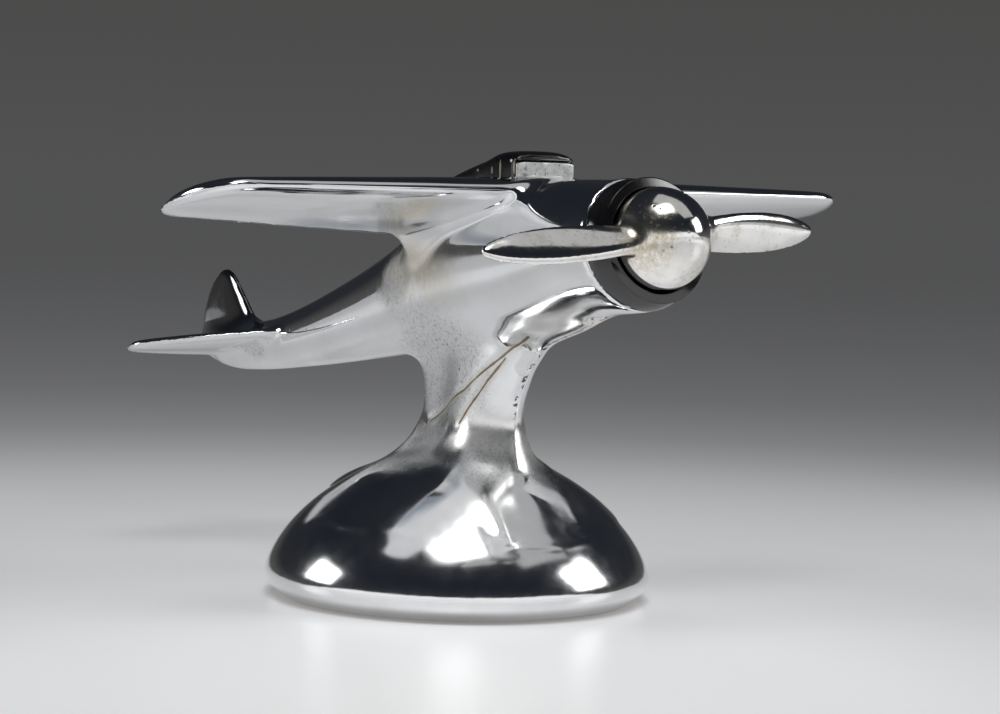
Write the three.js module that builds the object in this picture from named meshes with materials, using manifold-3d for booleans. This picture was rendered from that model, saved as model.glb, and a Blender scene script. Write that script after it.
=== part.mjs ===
// Aeroplane hood ornament: a hollow die-cast pedestal, fuselage, wing and tail in one casting,
// with a separate enamelled cowl ring, an enamelled canopy with its bare windscreen plate, and a
// one-piece spinner and two-blade propeller that turns on a steel shaft in a brass bush.
//
// Millimetres, +Z up. The origin is the centre of the pad that the ornament stands on.
// The nose points to -Y, the starboard wing to -X. The model is symmetric about the YZ plane,
// apart from the propeller, which rests a few degrees off level.
import * as THREE from 'three';
import { mergeVertices } from 'three/addons/utils/BufferGeometryUtils.js';
import Module from 'manifold-3d';

const wasm = await Module();
wasm.setup();

// ---------------------------------------------------------------- driving dimensions (mm)
const GAP = 0.3;                 // clearance left between two pieces that touch

// pedestal
const BASE_R_FOOT = 35.0;        // outer radius of the rim's underside
const BASE_R_MAX = 38.1;         // widest radius: a 3 inch base
const PAD_R = 32.9, PAD_T = 0.7; // pad set into the foot, inside the rim
const RIM_Z = 0.35;              // underside of the casting's rim, just clear of the ground
const PLATE_R = 33.0, PLATE_Z0 = 1.0, PLATE_T = 1.2;
const INSERT_Y = 16;             // the two threaded inserts stand this far fore and aft of centre
const INSERT_R = 3.0, INSERT_BORE_R = 1.75, INSERT_Z0 = 2.9, INSERT_LEN = 9;
const BOLT_CLEAR_R = 3.5;
const POST_RING_R = 25.5;        // pitch radius of the three plate screws
const SCREW_R = 1.25, SCREW_HEAD_R = 2.3, SCREW_LEN = 8.5;

// engine axis
const PITCH = 12.75 * Math.PI / 180;                     // the aeroplane climbs at this angle
const NOSE = new THREE.Vector3(0, -57.02, 71.455);       // centre of the cowl ring's rear face
const N = new THREE.Vector3(0, -Math.cos(PITCH), Math.sin(PITCH));   // forward along the shaft
const M = new THREE.Vector3(0, Math.sin(PITCH), Math.cos(PITCH));    // up, square to the shaft
const X = new THREE.Vector3(1, 0, 0);
const NOSE_R = 12.05;            // fuselage radius behind the cowl ring
const SPIGOT_R = 8.0, SPIGOT_LEN = 3.0;
const RING_R = 12.35, RING_MOUTH_R = 10.0, RING_FRONT = 5.75;
const SPINNER_R = 9.35, SPINNER_BACK = 4.4, SPINNER_TIP = 16.4;
const BLADE_R = 37.0;            // propeller tip radius
const REST_SPIN = 3.5 * Math.PI / 180;                   // blades rest this far off level
const SHAFT_R = 2.0, SHAFT_BACK = -18.6, SHAFT_FRONT = 11.6;
const BUSH_R = 3.5, BUSH_BACK = -19.0;
const GRUB_AT = -14.9, GRUB_R = 1.5;                     // set screw's station along the shaft

// wing: chord plane z = WING_Z0 - WING_SLOPE * y
const WING_Z0 = 72.67, WING_SLOPE = 0.2567;
// tailplane: chord plane z = TAIL_Z0 - TAIL_SLOPE * (y - 85)
const TAIL_Z0 = 44.0, TAIL_SLOPE = 0.2254;

// ---------------------------------------------------------------- helpers
const toSolid = (geometry) => {
  const g = geometry.clone();
  for (const name of Object.keys(g.attributes)) if (name !== 'position') g.deleteAttribute(name);
  const m = mergeVertices(g, 1e-4);
  const vertProperties = new Float32Array(m.attributes.position.array);
  const triVerts = new Uint32Array(m.index.array);
  const keep = [];
  for (let i = 0; i < triVerts.length; i += 3) {
    const [a, b, c] = [triVerts[i], triVerts[i + 1], triVerts[i + 2]];
    if (a !== b && b !== c && a !== c) keep.push(a, b, c);
  }
  let v6 = 0;
  const p = vertProperties;
  for (let i = 0; i < keep.length; i += 3) {
    const [a, b, c] = [keep[i] * 3, keep[i + 1] * 3, keep[i + 2] * 3];
    v6 += p[a] * (p[b + 1] * p[c + 2] - p[b + 2] * p[c + 1])
        - p[a + 1] * (p[b] * p[c + 2] - p[b + 2] * p[c])
        + p[a + 2] * (p[b] * p[c + 1] - p[b + 1] * p[c]);
  }
  if (v6 < 0) for (let i = 0; i < keep.length; i += 3) [keep[i + 1], keep[i + 2]] = [keep[i + 2], keep[i + 1]];
  return new wasm.Manifold(new wasm.Mesh({ numProp: 3, vertProperties, triVerts: new Uint32Array(keep) }));
};
const toGeometry = (solid) => {
  const mesh = solid.getMesh();
  const g = new THREE.BufferGeometry();
  g.setAttribute('position', new THREE.BufferAttribute(new Float32Array(mesh.vertProperties), 3));
  g.setIndex(new THREE.BufferAttribute(new Uint32Array(mesh.triVerts), 1));
  g.computeVertexNormals();
  return g;
};
const join = (...solids) => solids.reduce((a, b) => a.add(b));
const cut = (solid, ...tools) => tools.reduce((a, b) => a.subtract(b), solid);

// closed skin through rings of points, each ring closed by a fan at its first and last station
const loft = (rings) => {
  const n = rings[0].length;
  const pos = [], idx = [];
  for (const ring of rings) for (const q of ring) pos.push(q.x, q.y, q.z);
  for (let i = 0; i < rings.length - 1; i++) for (let j = 0; j < n; j++) {
    const a = i * n + j, b = i * n + (j + 1) % n, c = a + n, d = b + n;
    idx.push(a, b, d, a, d, c);
  }
  const capAt = (k, flip) => {
    const ring = rings[k], c = new THREE.Vector3();
    ring.forEach((q) => c.add(q));
    c.divideScalar(n);
    const ci = pos.length / 3;
    pos.push(c.x, c.y, c.z);
    for (let j = 0; j < n; j++) {
      const a = k * n + j, b = k * n + (j + 1) % n;
      if (flip) idx.push(ci, b, a); else idx.push(ci, a, b);
    }
  };
  capAt(0, true);
  capAt(rings.length - 1, false);
  const g = new THREE.BufferGeometry();
  g.setAttribute('position', new THREE.Float32BufferAttribute(pos, 3));
  g.setIndex(idx);
  return g;
};
// turned solid about +Z from [radius, z] pairs
const turned = (profile, segments = 48) => {
  const g = new THREE.LatheGeometry(profile.map(([r, z]) => new THREE.Vector2(Math.max(r, 0), z)), segments);
  g.rotateX(Math.PI / 2);
  return g;
};
// places a solid turned about +Z onto the shaft line: its z becomes the distance forward of NOSE
const shaftFrame = new THREE.Matrix4().makeBasis(X, new THREE.Vector3().crossVectors(N, X), N).setPosition(NOSE);
const onShaft = (g) => g.applyMatrix4(shaftFrame);
// stands a solid turned about +Z at a point, along a direction
const stand = (g, at, dir) => {
  const q = new THREE.Quaternion().setFromUnitVectors(new THREE.Vector3(0, 0, 1), dir.clone().normalize());
  return g.applyMatrix4(new THREE.Matrix4().compose(at, q, new THREE.Vector3(1, 1, 1)));
};
const rod = (r, z0, z1, segments = 24) => turned([[0, z0], [r, z0], [r, z1], [0, z1]], segments);
const tube = (ri, ro, z0, z1, segments = 32) => turned([[ri, z0], [ro, z0], [ro, z1], [ri, z1], [ri, z0]], segments);
const lerpTable = (table, x, col) => {
  if (x <= table[0][0]) return table[0][col];
  for (let i = 1; i < table.length; i++) {
    if (x <= table[i][0]) {
      const t = (x - table[i - 1][0]) / (table[i][0] - table[i - 1][0]);
      return table[i - 1][col] + t * (table[i][col] - table[i - 1][col]);
    }
  }
  return table[table.length - 1][col];
};
const superEllipse = (cx, cy, a, b, power, count, place) => {
  const out = [];
  for (let i = 0; i < count; i++) {
    const t = (i / count) * Math.PI * 2, c = Math.cos(t), s = Math.sin(t);
    out.push(place(cx + a * Math.sign(c) * Math.abs(c) ** (2 / power), cy + b * Math.sign(s) * Math.abs(s) ** (2 / power)));
  }
  return out;
};

// ---------------------------------------------------------------- body casting
// pedestal dome, [radius, z]
const domeProfile = [[0, RIM_Z], [BASE_R_FOOT, RIM_Z], [36.0, 0.95], [36.9, 1.8], [37.7, 2.9], [BASE_R_MAX, 4.3], [37.75, 6.1], [36.9, 8.2],
  [35.4, 10.8], [33.4, 13.5], [30.9, 16.2], [28.0, 18.8], [25.0, 21.0], [21.2, 23.4], [17.0, 25.6], [12, 27.4], [6, 28.6], [0, 29.0]];
const dome = toSolid(turned(domeProfile, 48));
// underside hollow, with the seat for the closing plate at its mouth
const seatZ = PLATE_Z0 + PLATE_T + GAP;
const hollow = toSolid(turned([[0, 0], [PLATE_R + GAP, 0], [PLATE_R + GAP, seatZ], [31.4, seatZ], [33.0, 4.4], [32.6, 7.4],
  [31.2, 10.2], [29.2, 12.6], [26.6, 15.0], [23.4, 17.4], [19.0, 20.0], [13.0, 22.4], [6, 23.8], [0, 24.2]], 32));

// pedestal's stem: horizontal sections [z, front y, rear y, half width]
const stem = [[19.5, -26.4, 40.0, 24.0], [21.0, -25.7, 37.0, 21.5], [22.5, -24.8, 33.0, 19.0], [24.0, -23.2, 27.6, 16.0], [26.5, -21.4, 22.4, 12.4], [29.0, -20.2, 18.6, 9.6],
  [32.7, -19.3, 15.0, 7.6], [36.0, -18.6, 12.9, 6.7], [39.8, -19.2, 12.6, 6.4], [43.0, -21.1, 13.2, 6.3], [46.0, -23.0, 15.6, 6.3],
  [49.0, -26.2, 20.5, 6.3], [52.0, -29.6, 27.0, 6.4], [54.5, -37.0, 33.0, 6.4], [57.0, -42.0, 36.0, 6.0], [60.0, -44.0, 34.0, 4.0]];
const stemWidth = [[0, 0], [0.02, 0.24], [0.07, 0.55], [0.15, 0.83], [0.25, 0.98], [0.36, 1.0], [0.48, 0.84], [0.6, 0.6], [0.72, 0.46], [0.85, 0.38], [0.95, 0.26], [1.0, 0]];
const stemSolid = toSolid(loft(stem.map(([z, yf, yr, w]) => {
  const half = stemWidth.map(([u, k]) => [yf + u * (yr - yf), Math.max(k * w, 0)]);
  const ring = half.map(([y, x]) => new THREE.Vector3(x, y, z));
  for (let i = half.length - 2; i > 0; i--) ring.push(new THREE.Vector3(-half[i][1], half[i][0], z));
  return ring;
})));

// fuselage: upright sections [y, top z, bottom z, half width, roundness]
const fuselage = [[-50, 83.2, 58.7, 12.1, 2.05], [-42, 83.1, 56.5, 12.1, 2.15], [-34, 82.9, 54.6, 12.0, 2.25], [-26, 82.6, 53.0, 11.7, 2.35],
  [-17, 81.6, 51.7, 11.3, 2.4], [-8, 79.9, 50.4, 10.8, 2.4], [2, 77.4, 49.0, 10.2, 2.4], [12, 72.6, 47.6, 9.3, 2.3], [21, 68.4, 46.3, 8.5, 2.25],
  [30, 64.7, 45.0, 7.7, 2.2], [40, 61.0, 43.5, 6.8, 2.2], [48.5, 58.1, 42.3, 6.1, 2.15], [57, 55.3, 41.2, 5.4, 2.1], [65.4, 52.8, 40.2, 4.8, 2.1],
  [74, 50.6, 39.2, 4.2, 2.05], [83, 49.1, 38.4, 3.6, 2.1], [92, 47.8, 37.9, 2.9, 2.05], [100, 46.8, 38.4, 2.2, 2], [106, 46.0, 39.8, 1.5, 2], [109.7, 44.9, 41.4, 0.7, 2]];
const FN = 24;
const fuselageRings = [superEllipse(0, 0, NOSE_R, NOSE_R, 2, FN, (a, b) => NOSE.clone().addScaledVector(X, a).addScaledVector(M, b))];
for (const [y, zt, zb, w, p] of fuselage) {
  fuselageRings.push(superEllipse(0, (zt + zb) / 2, w, (zt - zb) / 2, p, FN, (a, b) => new THREE.Vector3(a, y, b)));
}
const fuselageSolid = toSolid(loft(fuselageRings));
const spigot = toSolid(onShaft(rod(SPIGOT_R, -4, SPIGOT_LEN, 32)));

// aerofoil section in the YZ plane: leading edge at yl, trailing edge at yt, on a chord plane
const upper = [[0, 0.0], [0.012, 0.3], [0.04, 0.52], [0.09, 0.74], [0.17, 0.92], [0.28, 1.0], [0.42, 0.94], [0.6, 0.72], [0.8, 0.42], [1, 0.1]];
const lower = [[1, 0.3], [0.8, 0.55], [0.6, 0.8], [0.4, 0.98], [0.2, 1.0], [0.08, 0.85], [0.02, 0.5]];
const aerofoil = (x, yl, yt, zAt, hu, hl) => {
  const zl = zAt(yl), zt = zAt(yt), len = Math.hypot(yt - yl, zt - zl);
  const ty = (yt - yl) / len, tz = (zt - zl) / len;
  const at = (t, h) => new THREE.Vector3(x, yl + ty * t * len - tz * h, zl + tz * t * len + ty * h);
  return [...upper.map(([t, k]) => at(t, k * hu)), ...lower.map(([t, k]) => at(t, -k * hl))];
};
// wing planform [|x|, leading edge y, trailing edge y, upper height, lower depth]
const wingPlan = [[0, -31.0, 6.0, 4.5, 1.3], [16, -31.0, 4.0, 4.15, 1.3], [25.5, -31.1, 2.0, 3.85, 1.25], [42.8, -31.2, -1.6, 3.25, 1.15], [58, -31.3, -5.0, 2.7, 1.05],
  [64, -31.3, -6.3, 2.45, 1.0], [67.5, -30.6, -6.9, 2.3, 0.95], [69.8, -28.8, -7.9, 2.05, 0.9], [71.6, -26.3, -9.6, 1.75, 0.8], [72.9, -22.8, -11.9, 1.3, 0.65], [73.7, -18.6, -14.3, 0.6, 0.4]];
const wingZ = (y) => WING_Z0 - WING_SLOPE * y;
const spanRings = (plan, zAt) => {
  const mirrored = plan.slice(1).reverse().map((s) => [-s[0], ...s.slice(1)]);
  return [...mirrored, ...plan].map(([x, yl, yt, hu, hl]) => aerofoil(x, yl, yt, zAt, hu, hl));
};
const wing = toSolid(loft(spanRings(wingPlan, wingZ)));
const tailPlan = [[0, 64.5, 99.0, 1.5, 1.3], [5, 66.6, 97.8, 1.45, 1.25], [10.2, 69.1, 96.8, 1.4, 1.2], [19.8, 73.9, 94.5, 1.25, 1.1], [25.1, 77.4, 92.8, 1.1, 1.0],
  [28.6, 80.1, 90.4, 0.95, 0.85], [30.4, 82.1, 87.8, 0.7, 0.6], [31.1, 83.8, 85.6, 0.4, 0.35]];
const tailZ = (y) => TAIL_Z0 - TAIL_SLOPE * (y - 85);
const tailplane = toSolid(loft(spanRings(tailPlan, tailZ)));
// fin: level sections [z, front y, rear y, half thickness]
const finSections = [[42, 84.5, 108.6, 1.6], [46, 83.2, 109.9, 1.6], [48.4, 83.0, 109.6, 1.58], [49.8, 85.6, 109.3, 1.5], [51.6, 87.6, 108.6, 1.37], [53.9, 90.0, 107.5, 1.2],
  [56.2, 92.5, 105.9, 1.03], [58.4, 94.9, 103.3, 0.86], [59.5, 96.6, 101.6, 0.72], [60.1, 98.2, 100.4, 0.45]];
const finHalf = [[0, 0], [0.06, 0.55], [0.2, 0.9], [0.45, 1.0], [0.75, 0.8], [0.95, 0.5], [1, 0]];
const fin = toSolid(loft(finSections.map(([z, yf, yr, w]) => {
  const half = finHalf.map(([u, k]) => [yf + u * (yr - yf), k * w]);
  const ring = half.map(([y, x]) => new THREE.Vector3(x, y, z));
  for (let i = half.length - 2; i > 0; i--) ring.push(new THREE.Vector3(-half[i][1], half[i][0], z));
  return ring;
})));

// wheel fairings that run down the front of the dome on each side of the stem, with their axle studs
const fairing = (side) => {
  // [x, y, z of the centre, half width, height]
  const path = [[7.6, -10.0, 26.4, 4.4, 2.2], [8.4, -15.5, 24.0, 4.3, 2.4], [8.8, -20.5, 21.2, 3.9, 2.4], [8.9, -25.0, 18.0, 3.3, 2.2], [8.9, -28.6, 14.9, 2.7, 1.9], [8.8, -30.8, 12.5, 1.5, 1.2]];
  return toSolid(loft(path.map(([x, y, z, a, b]) => superEllipse(0, 0, a, b, 2, 12,
    (u, v) => new THREE.Vector3(side * (x + u) + side * v * 0.24, y - v * 0.58, z + v * 0.78)))));
};
const axleStud = (side) => toSolid(stand(rod(0.95, -2.5, 1.7, 10), new THREE.Vector3(side * 8.7, -29.6, 14.2), new THREE.Vector3(side * 0.3, -0.72, 0.62)));

// bosses and posts inside the pedestal
const bosses = [-INSERT_Y, INSERT_Y].map((y) => toSolid(rod(5.4, seatZ + 0.1, 24, 16).translate(0, y, 0)));
const postAngles = [0, 2 * Math.PI / 3, 4 * Math.PI / 3];
const postAt = postAngles.map((a) => new THREE.Vector3(POST_RING_R * Math.cos(a), POST_RING_R * Math.sin(a), 0));
const posts = postAt.map((q) => toSolid(rod(3.2, seatZ + 0.1, 18.2, 12).translate(q.x, q.y, 0)));

// canopy outline: upright sections [y, half width, top z], standing in a pocket with a flat sloping floor
const canopySections = [[-26.9, 6.75, 87.3], [-25.6, 6.9, 87.9], [-23.5, 7.0, 88.1], [-20.5, 7.05, 88.0], [-16, 6.95, 86.7], [-10, 6.75, 84.9], [-3, 6.3, 82.6], [4, 5.5, 80.5], [8, 4.7, 79.0], [12.5, 3.7, 76.8], [16.5, 2.6, 74.0], [19.4, 1.4, 71.4]];
const seatLine = (y) => 81.2 - (y + 27.2) * 0.268;
const canopyRing = (y, w, zt, grow) => {
  const zb = seatLine(y) - grow, b = w + grow, t = zt + (grow > 0 ? 8 : 0);
  const shoulder = zb + (t - zb) * 0.66;
  const pts = [[-b, zb], [b, zb], [b, shoulder]];
  for (let i = 1; i < 8; i++) {
    const a = (i / 8) * Math.PI;
    const c = Math.cos(a), s = Math.sin(a);
    pts.push([b * Math.sign(c) * Math.abs(c) ** 0.6, shoulder + (t - shoulder) * Math.abs(s) ** 0.6]);
  }
  pts.push([-b, shoulder]);
  return pts.map(([x, z]) => new THREE.Vector3(x, y, z));
};
const canopyLoft = (grow) => {
  const s = canopySections.map((q) => [...q]);
  if (grow > 0) { s[0][0] -= grow; s[s.length - 1][0] += grow; }
  return toSolid(loft(s.map(([y, w, zt]) => canopyRing(y, w, zt, grow))));
};
const seatNormal = new THREE.Vector3(0, 0.268, 1).normalize();
const pinAt = [-18, 3].map((y) => new THREE.Vector3(0, y, seatLine(y)));

const grubPoint = NOSE.clone().addScaledVector(N, GRUB_AT);
const down = M.clone().negate();

let body = join(dome, stemSolid, fuselageSolid, spigot, wing, tailplane, fin, fairing(1), fairing(-1), axleStud(1), axleStud(-1));
body = cut(body, hollow);
body = join(body, ...bosses, ...posts);
body = cut(body,
  ...[-INSERT_Y, INSERT_Y].map((y) => toSolid(rod(INSERT_R + GAP, 0, INSERT_Z0 + INSERT_LEN + GAP, 16).translate(0, y, 0))),
  ...postAt.map((q) => toSolid(rod(SCREW_R + GAP, 0, PLATE_Z0 + SCREW_LEN + 0.8, 10).translate(q.x, q.y, 0))),
  toSolid(onShaft(rod(BUSH_R + GAP, BUSH_BACK - GAP, SPIGOT_LEN + 1, 20))),
  toSolid(stand(rod(GRUB_R + GAP, 0.5, 16, 14), grubPoint, down)),
  canopyLoft(GAP),
  ...pinAt.map((q) => toSolid(stand(rod(1.2 + GAP, -5.3, 0.5, 16), q, seatNormal))));

// ---------------------------------------------------------------- nose and propeller
const cowlRing = toSolid(onShaft(turned([[SPIGOT_R + GAP, 0.3], [12.15, 0.3], [RING_R, 0.6], [12.25, 1.5], [11.95, 2.6], [11.55, 3.6], [11.1, 4.5], [10.7, 5.25], [10.45, RING_FRONT],
  [10.2, 5.65], [RING_MOUTH_R, 5.3], [RING_MOUTH_R, 3.3], [SPIGOT_R + GAP, 3.3], [SPIGOT_R + GAP, 0.3]], 40)));
const thrustWasher = toSolid(onShaft(tube(SHAFT_R + 0.4, 6.6, SPIGOT_LEN + 0.4, SPINNER_BACK - GAP, 20)));
const spinner = toSolid(onShaft(turned([[0, SPINNER_BACK], [9.0, SPINNER_BACK], [9.2, 4.7], [9.3, 5.6], [SPINNER_R, 6.8], [9.2, 8.2], [8.75, 9.6], [8.1, 11.0], [7.15, 12.4], [5.9, 13.8], [4.3, 15.0], [2.2, 16.05], [0, SPINNER_TIP]], 32)));
// blade sections [radius, chord, pitch, distance forward of NOSE, half thickness]
const bladeStations = [[3, 6.8, 42, 8.7, 1.9], [8, 6.8, 38, 8.7, 1.7], [12, 7.2, 33, 8.5, 1.5], [17, 7.6, 28, 7.9, 1.3], [22, 7.5, 24, 7.1, 1.15], [27, 6.8, 20, 6.2, 1.0], [31, 5.6, 18, 5.5, 0.85], [34, 4.1, 16, 4.9, 0.7], [36, 2.4, 15, 4.6, 0.5], [BLADE_R, 0.9, 15, 4.45, 0.3]];
const blade = (side) => {
  const across = X.clone().multiplyScalar(Math.cos(REST_SPIN)).addScaledVector(M, Math.sin(REST_SPIN)).multiplyScalar(side);
  const inPlane = M.clone().multiplyScalar(Math.cos(REST_SPIN)).addScaledVector(X, -Math.sin(REST_SPIN)).multiplyScalar(side);
  const rings = bladeStations.map(([r, c, pitch, fwd, h]) => {
    const p = pitch * Math.PI / 180;
    // the leading edge (+chord) leans forward
    const chord = inPlane.clone().multiplyScalar(Math.cos(p)).addScaledVector(N, Math.sin(p));
    const thick = N.clone().multiplyScalar(Math.cos(p)).addScaledVector(inPlane, -Math.sin(p));
    const o = NOSE.clone().addScaledVector(N, fwd).addScaledVector(across, r);
    return superEllipse(0, 0, c / 2, h, 1.7, 16, (a, b) => o.clone().addScaledVector(chord, a).addScaledVector(thick, b));
  });
  return toSolid(loft(rings));
};
const propeller = cut(join(spinner, blade(1), blade(-1)), toSolid(onShaft(rod(SHAFT_R + GAP, SPINNER_BACK - 1, SHAFT_FRONT + GAP, 14))));
const shaft = toSolid(onShaft(turned([[0, SHAFT_BACK], [1.7, SHAFT_BACK], [SHAFT_R, SHAFT_BACK + 0.3], [SHAFT_R, GRUB_AT - 1.4], [1.2, GRUB_AT - 1.3], [1.2, GRUB_AT + 1.3], [SHAFT_R, GRUB_AT + 1.4],
  [SHAFT_R, SHAFT_FRONT - 0.3], [1.7, SHAFT_FRONT], [0, SHAFT_FRONT]], 16)));
const bush = cut(toSolid(onShaft(tube(SHAFT_R + GAP, BUSH_R, BUSH_BACK, SPIGOT_LEN, 20))), toSolid(stand(rod(1.3, 1, 5, 10), grubPoint, down)));
const grub = cut(toSolid(stand(turned([[0, 1.6], [0.8, 1.6], [1.0, 1.9], [1.0, 3.9], [GRUB_R, 4.4], [GRUB_R, 9.9], [1.3, 10.2], [0, 10.2]], 14), grubPoint, down)),
  toSolid(stand(rod(0.85, 8.6, 11, 6), grubPoint, down)));

// ---------------------------------------------------------------- canopy
// a step across the front of the canopy takes the windscreen plate
const stepBox = toSolid(new THREE.BoxGeometry(20, 3, 3.8).translate(0, -26.1 - 1.5, 86.3 - 1.9));
const pinBores = pinAt.map((q) => toSolid(stand(rod(1.2 + GAP, -0.5, 3.3, 16), q, seatNormal)));
const canopy = cut(canopyLoft(0), stepBox, ...pinBores);
const windscreen = toSolid(new THREE.BoxGeometry(2 * 6.55, 0.5, 3.2).translate(0, -26.65, 84.4));
const pins = pinAt.map((q) => toSolid(stand(rod(1.2, -5.0, 3.0, 16), q, seatNormal)));

// ---------------------------------------------------------------- underside fittings
const plate = cut(toSolid(rod(PLATE_R, PLATE_Z0, PLATE_Z0 + PLATE_T, 40)),
  ...[-INSERT_Y, INSERT_Y].map((y) => toSolid(rod(BOLT_CLEAR_R, 0, 4, 16).translate(0, y, 0))),
  ...postAt.map((q) => toSolid(turned([[0, 0.9], [SCREW_HEAD_R + GAP + 0.1, 0.9], [SCREW_HEAD_R + GAP, 1.0], [SCREW_R + GAP, 2.05], [SCREW_R + GAP, 3], [0, 3]], 14).translate(q.x, q.y, 0))));
const screws = postAt.map((q) => cut(
  toSolid(turned([[0, PLATE_Z0 + 0.05], [SCREW_HEAD_R, PLATE_Z0 + 0.05], [SCREW_R, 2.1], [SCREW_R, PLATE_Z0 + SCREW_LEN - 0.6], [0.7, PLATE_Z0 + SCREW_LEN], [0, PLATE_Z0 + SCREW_LEN]], 14).translate(q.x, q.y, 0)),
  toSolid(new THREE.BoxGeometry(2 * SCREW_HEAD_R + 1, 0.55, 1.0).translate(q.x, q.y, PLATE_Z0))));
const inserts = [-INSERT_Y, INSERT_Y].map((y) => toSolid(tube(INSERT_BORE_R, INSERT_R, INSERT_Z0, INSERT_Z0 + INSERT_LEN, 16).translate(0, y, 0)));
const pad = cut(toSolid(rod(PAD_R, 0, PAD_T, 44)), ...[-INSERT_Y, INSERT_Y].map((y) => toSolid(rod(BOLT_CLEAR_R, -1, 2, 16).translate(0, y, 0))));

// ---------------------------------------------------------------- scene graph
const chrome = { color: 0xc9ccd0, roughness: 0.12, metalness: 1 };
const enamel = { color: 0x0b0b0c, roughness: 0.18, metalness: 0 };
const steel = { color: 0x8f9296, roughness: 0.35, metalness: 1 };
const brass = { color: 0xb48a3c, roughness: 0.35, metalness: 1 };
const ornament = new THREE.Group();
ornament.name = 'hood_ornament';
const put = (name, solid, look, group = ornament) => {
  const mesh = new THREE.Mesh(toGeometry(solid), new THREE.MeshStandardMaterial(look));
  mesh.name = name;
  group.add(mesh);
  return mesh;
};
put('body_casting', body, chrome);
put('cowl_ring', cowlRing, enamel);
put('canopy', canopy, enamel);
put('windscreen', windscreen, { color: 0xb9bab4, roughness: 0.4, metalness: 1 });
put('canopy_pin_front', pins[0], steel);
put('canopy_pin_rear', pins[1], steel);
put('shaft_bush', bush, brass);
put('thrust_washer', thrustWasher, brass);
put('shaft_set_screw', grub, steel);
put('base_plate', plate, steel);
screws.forEach((s, i) => put(`base_plate_screw_${i + 1}`, s, steel));
put('stud_insert_front', inserts[0], brass);
put('stud_insert_rear', inserts[1], brass);
put('base_pad', pad, { color: 0x2c221a, roughness: 0.95, metalness: 0 });
const turning = new THREE.Group();
turning.name = 'turning_parts';
put('propeller', propeller, chrome, turning);
put('propeller_shaft', shaft, steel, turning);
ornament.add(turning);

export default ornament;
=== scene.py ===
import bpy, math
import numpy as np
from mathutils import Vector, Matrix


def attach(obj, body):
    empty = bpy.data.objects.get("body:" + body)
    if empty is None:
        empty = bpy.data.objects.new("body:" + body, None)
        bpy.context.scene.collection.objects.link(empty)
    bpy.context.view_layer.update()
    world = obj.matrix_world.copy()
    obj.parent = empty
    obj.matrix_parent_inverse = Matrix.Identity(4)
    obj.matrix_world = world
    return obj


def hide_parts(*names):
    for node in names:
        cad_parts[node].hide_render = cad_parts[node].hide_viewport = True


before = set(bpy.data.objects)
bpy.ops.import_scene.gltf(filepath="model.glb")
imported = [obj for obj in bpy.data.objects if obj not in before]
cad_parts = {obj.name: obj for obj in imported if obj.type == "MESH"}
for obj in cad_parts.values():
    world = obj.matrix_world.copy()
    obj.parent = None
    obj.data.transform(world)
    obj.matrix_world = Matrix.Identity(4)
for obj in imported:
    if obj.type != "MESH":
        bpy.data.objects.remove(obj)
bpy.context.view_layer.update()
scene = bpy.context.scene
MM = 0.001

# ------------------------------------------------------------------ camera (comes first)
cam_data = bpy.data.cameras.new("main_camera")
cam_data.sensor_fit = 'HORIZONTAL'
cam_data.sensor_width = 36.0
cam_data.lens = 97.8506
cam_data.clip_start = 0.01
cam_data.clip_end = 50.0
cam = bpy.data.objects.new("main_camera", cam_data)
scene.collection.objects.link(cam)
R_ = (0.83154, -0.55471, 0.02879); U_ = (0.01391, 0.07262, 0.99726); B_ = (-0.55528, -0.82887, 0.06811)
cam.matrix_world = Matrix(((R_[0], U_[0], B_[0], -0.292279), (R_[1], U_[1], B_[1], -0.449571), (R_[2], U_[2], B_[2], 0.084081), (0, 0, 0, 1)))
scene.camera = cam

# ------------------------------------------------------------------ signed-distance toolkit (millimetres)
PITCH = math.radians(12.75)
NOSE = np.array([0.0, -57.02, 71.455])
N = np.array([0.0, -math.cos(PITCH), math.sin(PITCH)])
M = np.array([0.0, math.sin(PITCH), math.cos(PITCH)])
F = np.float32


def spline(xs, ys):
    """Monotone cubic through a table, flat outside it."""
    xs = np.asarray(xs, float); ys = np.asarray(ys, float)
    h = np.diff(xs); d = np.diff(ys) / h
    m = np.zeros_like(ys); m[0] = d[0]; m[-1] = d[-1]
    for i in range(1, len(xs) - 1):
        if d[i - 1] * d[i] <= 0:
            m[i] = 0
        else:
            w1 = 2 * h[i] + h[i - 1]; w2 = h[i] + 2 * h[i - 1]
            m[i] = (w1 + w2) / (w1 / d[i - 1] + w2 / d[i])

    def f(x):
        x = np.clip(x, xs[0], xs[-1])
        i = np.clip(np.searchsorted(xs, x) - 1, 0, len(xs) - 2)
        t = (x - xs[i]) / h[i]
        t2 = t * t; t3 = t2 * t
        return ((2 * t3 - 3 * t2 + 1) * ys[i] + (t3 - 2 * t2 + t) * h[i] * m[i] + (3 * t2 - 2 * t3) * ys[i + 1] + (t3 - t2) * h[i] * m[i + 1])
    return f


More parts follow.
